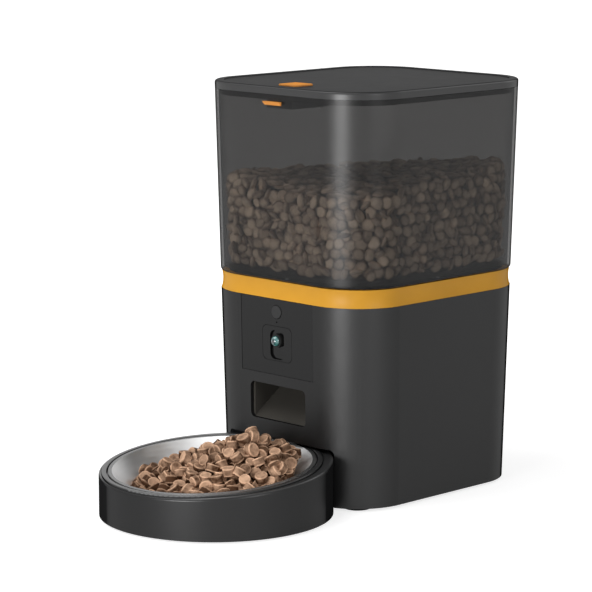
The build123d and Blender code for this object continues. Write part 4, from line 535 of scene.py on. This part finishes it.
def many_pieces(name, shape, crust_and_shade_of, places, material):
    """One mesh from many turned and sized copies of a shape."""
    points, faces = shape
    # Each piece's tone: partly random, partly the lighter parts and painted shade of its shape
    crust_and_shade = PIECE_CRUST_AND_SHADE_SHARE * crust_and_shade_of(points)
    all_points, all_faces, tones_and_shades = [], [], []
    for number, (centre, towards, size) in enumerate(places):
        turn = turn_matrix(towards, chance.uniform(0, FULL_TURN))
        squeeze = chance.uniform(*PIECE_SQUEEZE, 3)
        all_points.append((points * squeeze * size) @ turn.T + centre)
        all_faces.extend(tuple(i + number * len(points) for i in face) for face in faces)
        tones_and_shades.append((1.0 - PIECE_CRUST_AND_SHADE_SHARE) * chance.uniform() + crust_and_shade)
    piece = new_piece(name, np.concatenate(all_points).tolist(), all_faces, material)
    tone_and_shade = piece.data.attributes.new("piece_tone_and_shade", "FLOAT", "POINT")
    tone_and_shade.data.foreach_set("value", np.concatenate(tones_and_shades).astype(np.float32))
    piece.data.polygons.foreach_set("use_smooth", [True] * len(piece.data.polygons))
    return piece


# Food in the hopper
def outline_sizes(height, inset):
    """Half width, half depth and corner radius of the body's rounded outline, moved inward."""
    grown = height * DRAFT - inset
    return FLOOR_HALF_WIDTH + grown, FLOOR_HALF_DEPTH + grown, CORNER_RADIUS - inset


def outline_length(height, inset):
    """Length of the body's rounded outline."""
    half_x, half_y, round_radius = outline_sizes(height, inset)
    return 4 * (half_x + half_y - 2 * round_radius) + FULL_TURN * round_radius


def wall_point(distance, height, inset):
    """Place and outward direction on the body's rounded outline, a distance along it."""
    half_x, half_y, round_radius = outline_sizes(height, inset)
    flat_x, flat_y = half_x - round_radius, half_y - round_radius
    arc = round_radius * math.pi / 2
    sides = [
        ((flat_x, half_y), (-1, 0), 2 * flat_x),
        ((-half_x, flat_y), (0, -1), 2 * flat_y),
        ((-flat_x, -half_y), (1, 0), 2 * flat_x),
        ((half_x, -flat_y), (0, 1), 2 * flat_y),
    ]
    corners = [(-flat_x, flat_y), (-flat_x, -flat_y), (flat_x, -flat_y), (flat_x, flat_y)]
    start_angle = math.pi / 2
    for (begin, along, length), corner in zip(sides, corners):
        if distance < length:
            place = (begin[0] + along[0] * distance, begin[1] + along[1] * distance)
            return place, (math.cos(start_angle), math.sin(start_angle))
        distance -= length
        if distance < arc:
            angle = start_angle + distance / round_radius
            outward = (math.cos(angle), math.sin(angle))
            return (corner[0] + outward[0] * round_radius, corner[1] + outward[1] * round_radius), outward
        distance -= arc
        start_angle += math.pi / 2
    return wall_point(0.0, height, inset)


def fill_height(x, y):
    """Level of the food in the hopper: it leans and twists a little, as poured."""
    return FILL_TOP + FILL_LEAN_X * x + FILL_LEAN_Y * y + FILL_TWIST * x * y


def pebble_size():
    """Size of one piece in the hopper."""
    return PEBBLE_RADIUS * chance.uniform(*PEBBLE_SIZES)


def wall_row(height, inset, shift):
    """Pieces of one row behind the hopper's walls, as far as the food reaches up."""
    places = []
    length = outline_length(height, inset)
    count = int(length / PEBBLE_PITCH)
    for step in range(count):
        distance = (step + shift + chance.uniform(-ROW_SHIFT, ROW_SHIFT)) * length / count
        (x, y), outward = wall_point(distance % length, height, inset)
        towards = np.array([*outward, 0.0]) + chance.normal(0, ROW_TILT, 3)
        sink = chance.uniform(0, ROW_SINK)
        centre = np.array([x - outward[0] * sink, y + BODY_Y - outward[1] * sink, height])
        centre[2] += chance.uniform(-ROW_RISE, ROW_RISE)
        size = pebble_size()
        if centre[2] < fill_height(x, y):
            places.append((centre, towards, size))
    return places


def wall_places(inset):
    """Pieces of one layer behind the hopper's walls; every second row is moved by half a piece."""
    places = []
    height = FILL_LOW + PEBBLE_RADIUS
    shift = 0.0
    while height < FILL_TOP + 2 * PEBBLE_RADIUS:
        places.extend(wall_row(height, inset, shift))
        height += ROW_PITCH
        shift = 0.5 - shift
    return places


def top_places(inset):
    """Pieces on top of the food in the hopper."""
    places = []
    half_x, half_y, round_radius = outline_sizes(FILL_TOP, inset)
    for x in np.arange(-half_x, half_x, TOP_PITCH):
        for y in np.arange(-half_y, half_y, TOP_PITCH):
            px = x + chance.uniform(-TOP_SHIFT, TOP_SHIFT)
            py = y + chance.uniform(-TOP_SHIFT, TOP_SHIFT)
            over_x = max(abs(px) - (half_x - round_radius), 0)
            over_y = max(abs(py) - (half_y - round_radius), 0)
            if math.hypot(over_x, over_y) > round_radius:
                continue
            top = fill_height(px, py) + chance.uniform(-TOP_SHIFT, TOP_SHIFT)
            towards = np.array([0, 0, 1.0]) + chance.normal(0, TOP_TILT, 3)
            places.append((np.array([px, py + BODY_Y, top]), towards, pebble_size()))
    return places


def fill_core(material):
    """Plain block inside the food, so that no gap shows through it; its dark colour is painted shade for
    the gaps between the pieces.
    """
    inset = HOPPER_WALL + CORE_INSET
    points, faces = [], []
    for height in (FILL_LOW, FILL_TOP - CORE_INSET):
        length = outline_length(height, inset)
        for step in range(CORE_STEPS):
            (x, y), _ = wall_point(length * step / CORE_STEPS, height, inset)
            points.append((x, y + BODY_Y, height))
    for step in range(CORE_STEPS):
        after = (step + 1) % CORE_STEPS
        faces.append((step, after, CORE_STEPS + after, CORE_STEPS + step))
    faces.append(tuple(range(CORE_STEPS))[::-1])
    faces.append(tuple(range(CORE_STEPS, 2 * CORE_STEPS)))
    return new_piece("food_core", points, faces, material)


# Food in the bowl; places are counted from the bowl's axis
def bowl_inside(x, y):
    """Height of the bowl's inner face."""
    reach = math.hypot(x, y)
    rise = max(reach - BOWL_FLOOR_RADIUS, 0) / (BOWL_MOUTH_RADIUS - BOWL_FLOOR_RADIUS)
    return BOWL_RIM_HEIGHT + y * BOWL_SLOPE - BOWL_DEPTH * (1 - rise)


def bowl_normal(x, y):
    """Direction in which the bowl's inner face looks, 1 high; near the wall it already leans inward."""
    reach = math.hypot(x, y)
    lean = 0.0
    if reach > BOWL_FLOOR_RADIUS - BISCUIT_RADIUS:
        lean = BOWL_DEPTH / (BOWL_MOUTH_RADIUS - BOWL_FLOOR_RADIUS) / reach
    return np.array([-x * lean, -y * lean - BOWL_SLOPE, 1.0])


def heap_level(x, y):
    """Wanted top of the heap."""
    return HEAP_TOP - HEAP_FALL * math.hypot(x - HEAP_PEAK[0], y - HEAP_PEAK[1])


def lying_height(x, y):
    """Height at which a piece lies flat on the bowl's inner face."""
    return bowl_inside(x, y) + HEAP_REST * np.linalg.norm(bowl_normal(x, y))


def resting_height(x, y, centres):
    """Height at which a piece dropped here comes to lie on the bowl or on the pieces below it."""
    top = lying_height(x, y)
    if len(centres):
        apart = np.hypot(centres[:, 0] - x, centres[:, 1] - y)
        near = apart < 2 * HEAP_REST
        if near.any():
            top = max(top, (centres[near, 2] + np.sqrt((2 * HEAP_REST) ** 2 - apart[near] ** 2)).max())
    return top


def emptiest_place(centres):
    """Of some places picked by chance, the one where the heap lacks most: lack, x, y and height."""
    best = None
    for _ in range(HEAP_TRIES):
        reach = HEAP_REACH * math.sqrt(chance.uniform())
        angle = chance.uniform(0, FULL_TURN)
        x, y = reach * math.cos(angle), reach * math.sin(angle)
        top = resting_height(x, y, centres)
        lack = heap_level(x, y) - top
        if best is None or lack > best[0]:
            best = (lack, x, y, top)
    return best


def heap_places():
    """Pieces dropped one by one until the heap is full; those next to the bowl lie flat on it."""
    centres = np.zeros((0, 3))
    places = []
    while len(places) < HEAP_MOST:
        lack, x, y, top = emptiest_place(centres)
        if lack < 0:
            break
        centres = np.vstack([centres, (x, y, top)])
        towards = np.array([0, 0, 1.0]) + chance.normal(0, BISCUIT_TILT, 3)
        if top < lying_height(x, y) + LOOSE_ABOVE:
            towards = bowl_normal(x, y)
        size = BISCUIT_RADIUS * chance.uniform(*BISCUIT_SIZES)
        places.append((np.array([x, y + BOWL_AXIS_Y, top]), towards, size))
    return places


# Contents of the hopper and the bowl
PEBBLE = turned_shape(both_halves(PEBBLE_HALF), PEBBLE_SEGMENTS)
BISCUIT = turned_shape(both_halves(BISCUIT_HALF), BISCUIT_SEGMENTS)
hopper_food = food("hopper_food_finish", (0.2, 0.135, 0.1), (0.95, 0.75, 0.57), 160.0)
# Lighter copy of the hopper food for the top of the fill: painted light where the lid keeps the top dark
lit_top_food = food("top_food_painted_light_finish", (0.28, 0.2, 0.15), (0.92, 0.72, 0.56), 160.0)
# Dark copy of the food's colours for the core: painted shade in the gaps between pieces
shaded_core_food = food("core_painted_shade_finish", (0.05, 0.032, 0.024), (0.12, 0.08, 0.058), 160.0)
bowl_food = food("bowl_food_finish", (0.055, 0.024, 0.011), (0.6, 0.38, 0.25), 220.0)
behind_walls = [place for layer in PEBBLE_LAYERS for place in wall_places(HOPPER_WALL + layer)]
on_top = top_places(HOPPER_WALL + 2 * PEBBLE_RADIUS)
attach(many_pieces("food_in_hopper", PEBBLE, pebble_painted_shade, behind_walls, hopper_food), "hopper")
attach(many_pieces("food_on_top", PEBBLE, pebble_painted_shade, on_top, lit_top_food), "hopper")
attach(fill_core(shaded_core_food), "hopper")
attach(many_pieces("food_in_bowl", BISCUIT, biscuit_crust_and_shade, heap_places(), bowl_food), "bowl")


# Light, floor and camera
def area_light(name, turn_deg, rise_deg, distance, width, height, power):
    """Soft box that looks at the feeder; turn 0 is straight in front, 90 is to the right."""
    turn, rise = math.radians(turn_deg), math.radians(rise_deg)
    aim = Vector((0, BODY_Y, LAMP_AIM_HEIGHT))
    back = Vector((math.sin(turn) * math.cos(rise), -math.cos(turn) * math.cos(rise), math.sin(rise)))
    data = bpy.data.lights.new(name, "AREA")
    data.shape = "RECTANGLE"
    data.size = width
    data.size_y = height
    data.energy = power
    lamp = bpy.data.objects.new(name, data)
    lamp.location = aim + back * distance
    lamp.rotation_euler = (-back).to_track_quat("-Z", "Y").to_euler()
    scene.collection.objects.link(lamp)


def plain_view(tree):
    """1 where the camera sees a surface straight, in a mirror image or through glass, else 0."""
    path = tree.nodes.new("ShaderNodeLightPath")
    seen = path.outputs["Is Camera Ray"]
    for other in ("Is Glossy Ray", "Is Transmission Ray"):
        seen = number_step(tree, "MAXIMUM", seen, path.outputs[other])
    return seen


def white_light(tree, strength):
    """White background of a strength."""
    node = tree.nodes.new("ShaderNodeBackground")
    node.inputs["Strength"].default_value = strength
    node.inputs["Color"].default_value = WHITE
    return node.outputs["Background"]


def white_world():
    """White behind the object, soft grey light from all round."""
    world = bpy.data.worlds.new("studio")
    world.use_nodes = True
    tree = world.node_tree
    tree.nodes.clear()
    output = tree.nodes.new("ShaderNodeOutputWorld")
    lit, seen = white_light(tree, WORLD_LIGHT), white_light(tree, WORLD_SEEN)
    tree.links.new(mix_shaders(tree, plain_view(tree), lit, seen), output.inputs["Surface"])
    scene.world = world


def floor_finish():
    """Pale floor that glows in plain view, less so close to the feeder, and still takes its shadow."""
    material, tree, shader, output = new_material("floor_finish")
    place = object_place(tree)
    clouds = noise(tree, place, FLOOR_CLOUDS)
    pale = colour_ramp(tree, clouds, shades(FLOOR_COLOUR, FLOOR_SPREAD))
    tree.links.new(pale, shader.inputs["Base Color"])
    shader.inputs["Roughness"].default_value = FLOOR_ROUGHNESS
    reach = vector_step(tree, "LENGTH", place)
    glow_by_reach = value_range(tree, reach.outputs["Value"], FLOOR_GLOW, FLOOR_GLOW_REACH)
    glow = tree.nodes.new("ShaderNodeEmission")
    feed(tree, glow.inputs["Strength"], number_step(tree, "MULTIPLY", plain_view(tree), glow_by_reach))
    both = tree.nodes.new("ShaderNodeAddShader")
    tree.links.new(shader.outputs["BSDF"], both.inputs[0])
    tree.links.new(glow.outputs["Emission"], both.inputs[1])
    tree.links.new(both.outputs["Shader"], output.inputs["Surface"])
    return material


def pale_floor():
    """Pale floor that keeps the object's soft shadow."""
    bpy.ops.mesh.primitive_plane_add(size=FLOOR_SIZE, location=(0, 0, 0))
    floor = bpy.context.object
    floor.name = "floor"
    floor.data.materials.append(floor_finish())


def photo_camera():
    """Camera at the photo's angle."""
    data = bpy.data.cameras.new("photo_camera")
    data.lens = CAMERA_LENS
    data.sensor_width = CAMERA_SENSOR
    data.clip_end = CAMERA_SIGHT
    camera = bpy.data.objects.new("photo_camera", data)
    camera.location = CAMERA_PLACE
    camera.rotation_euler = (math.radians(90 - CAMERA_DROP_DEG), 0, math.radians(CAMERA_TURN_DEG))
    scene.collection.objects.link(camera)
    scene.camera = camera


for lamp_name, lamp_settings in LAMPS.items():
    area_light(lamp_name, *lamp_settings)
white_world()
pale_floor()
photo_camera()
scene.view_settings.view_transform = "Standard"
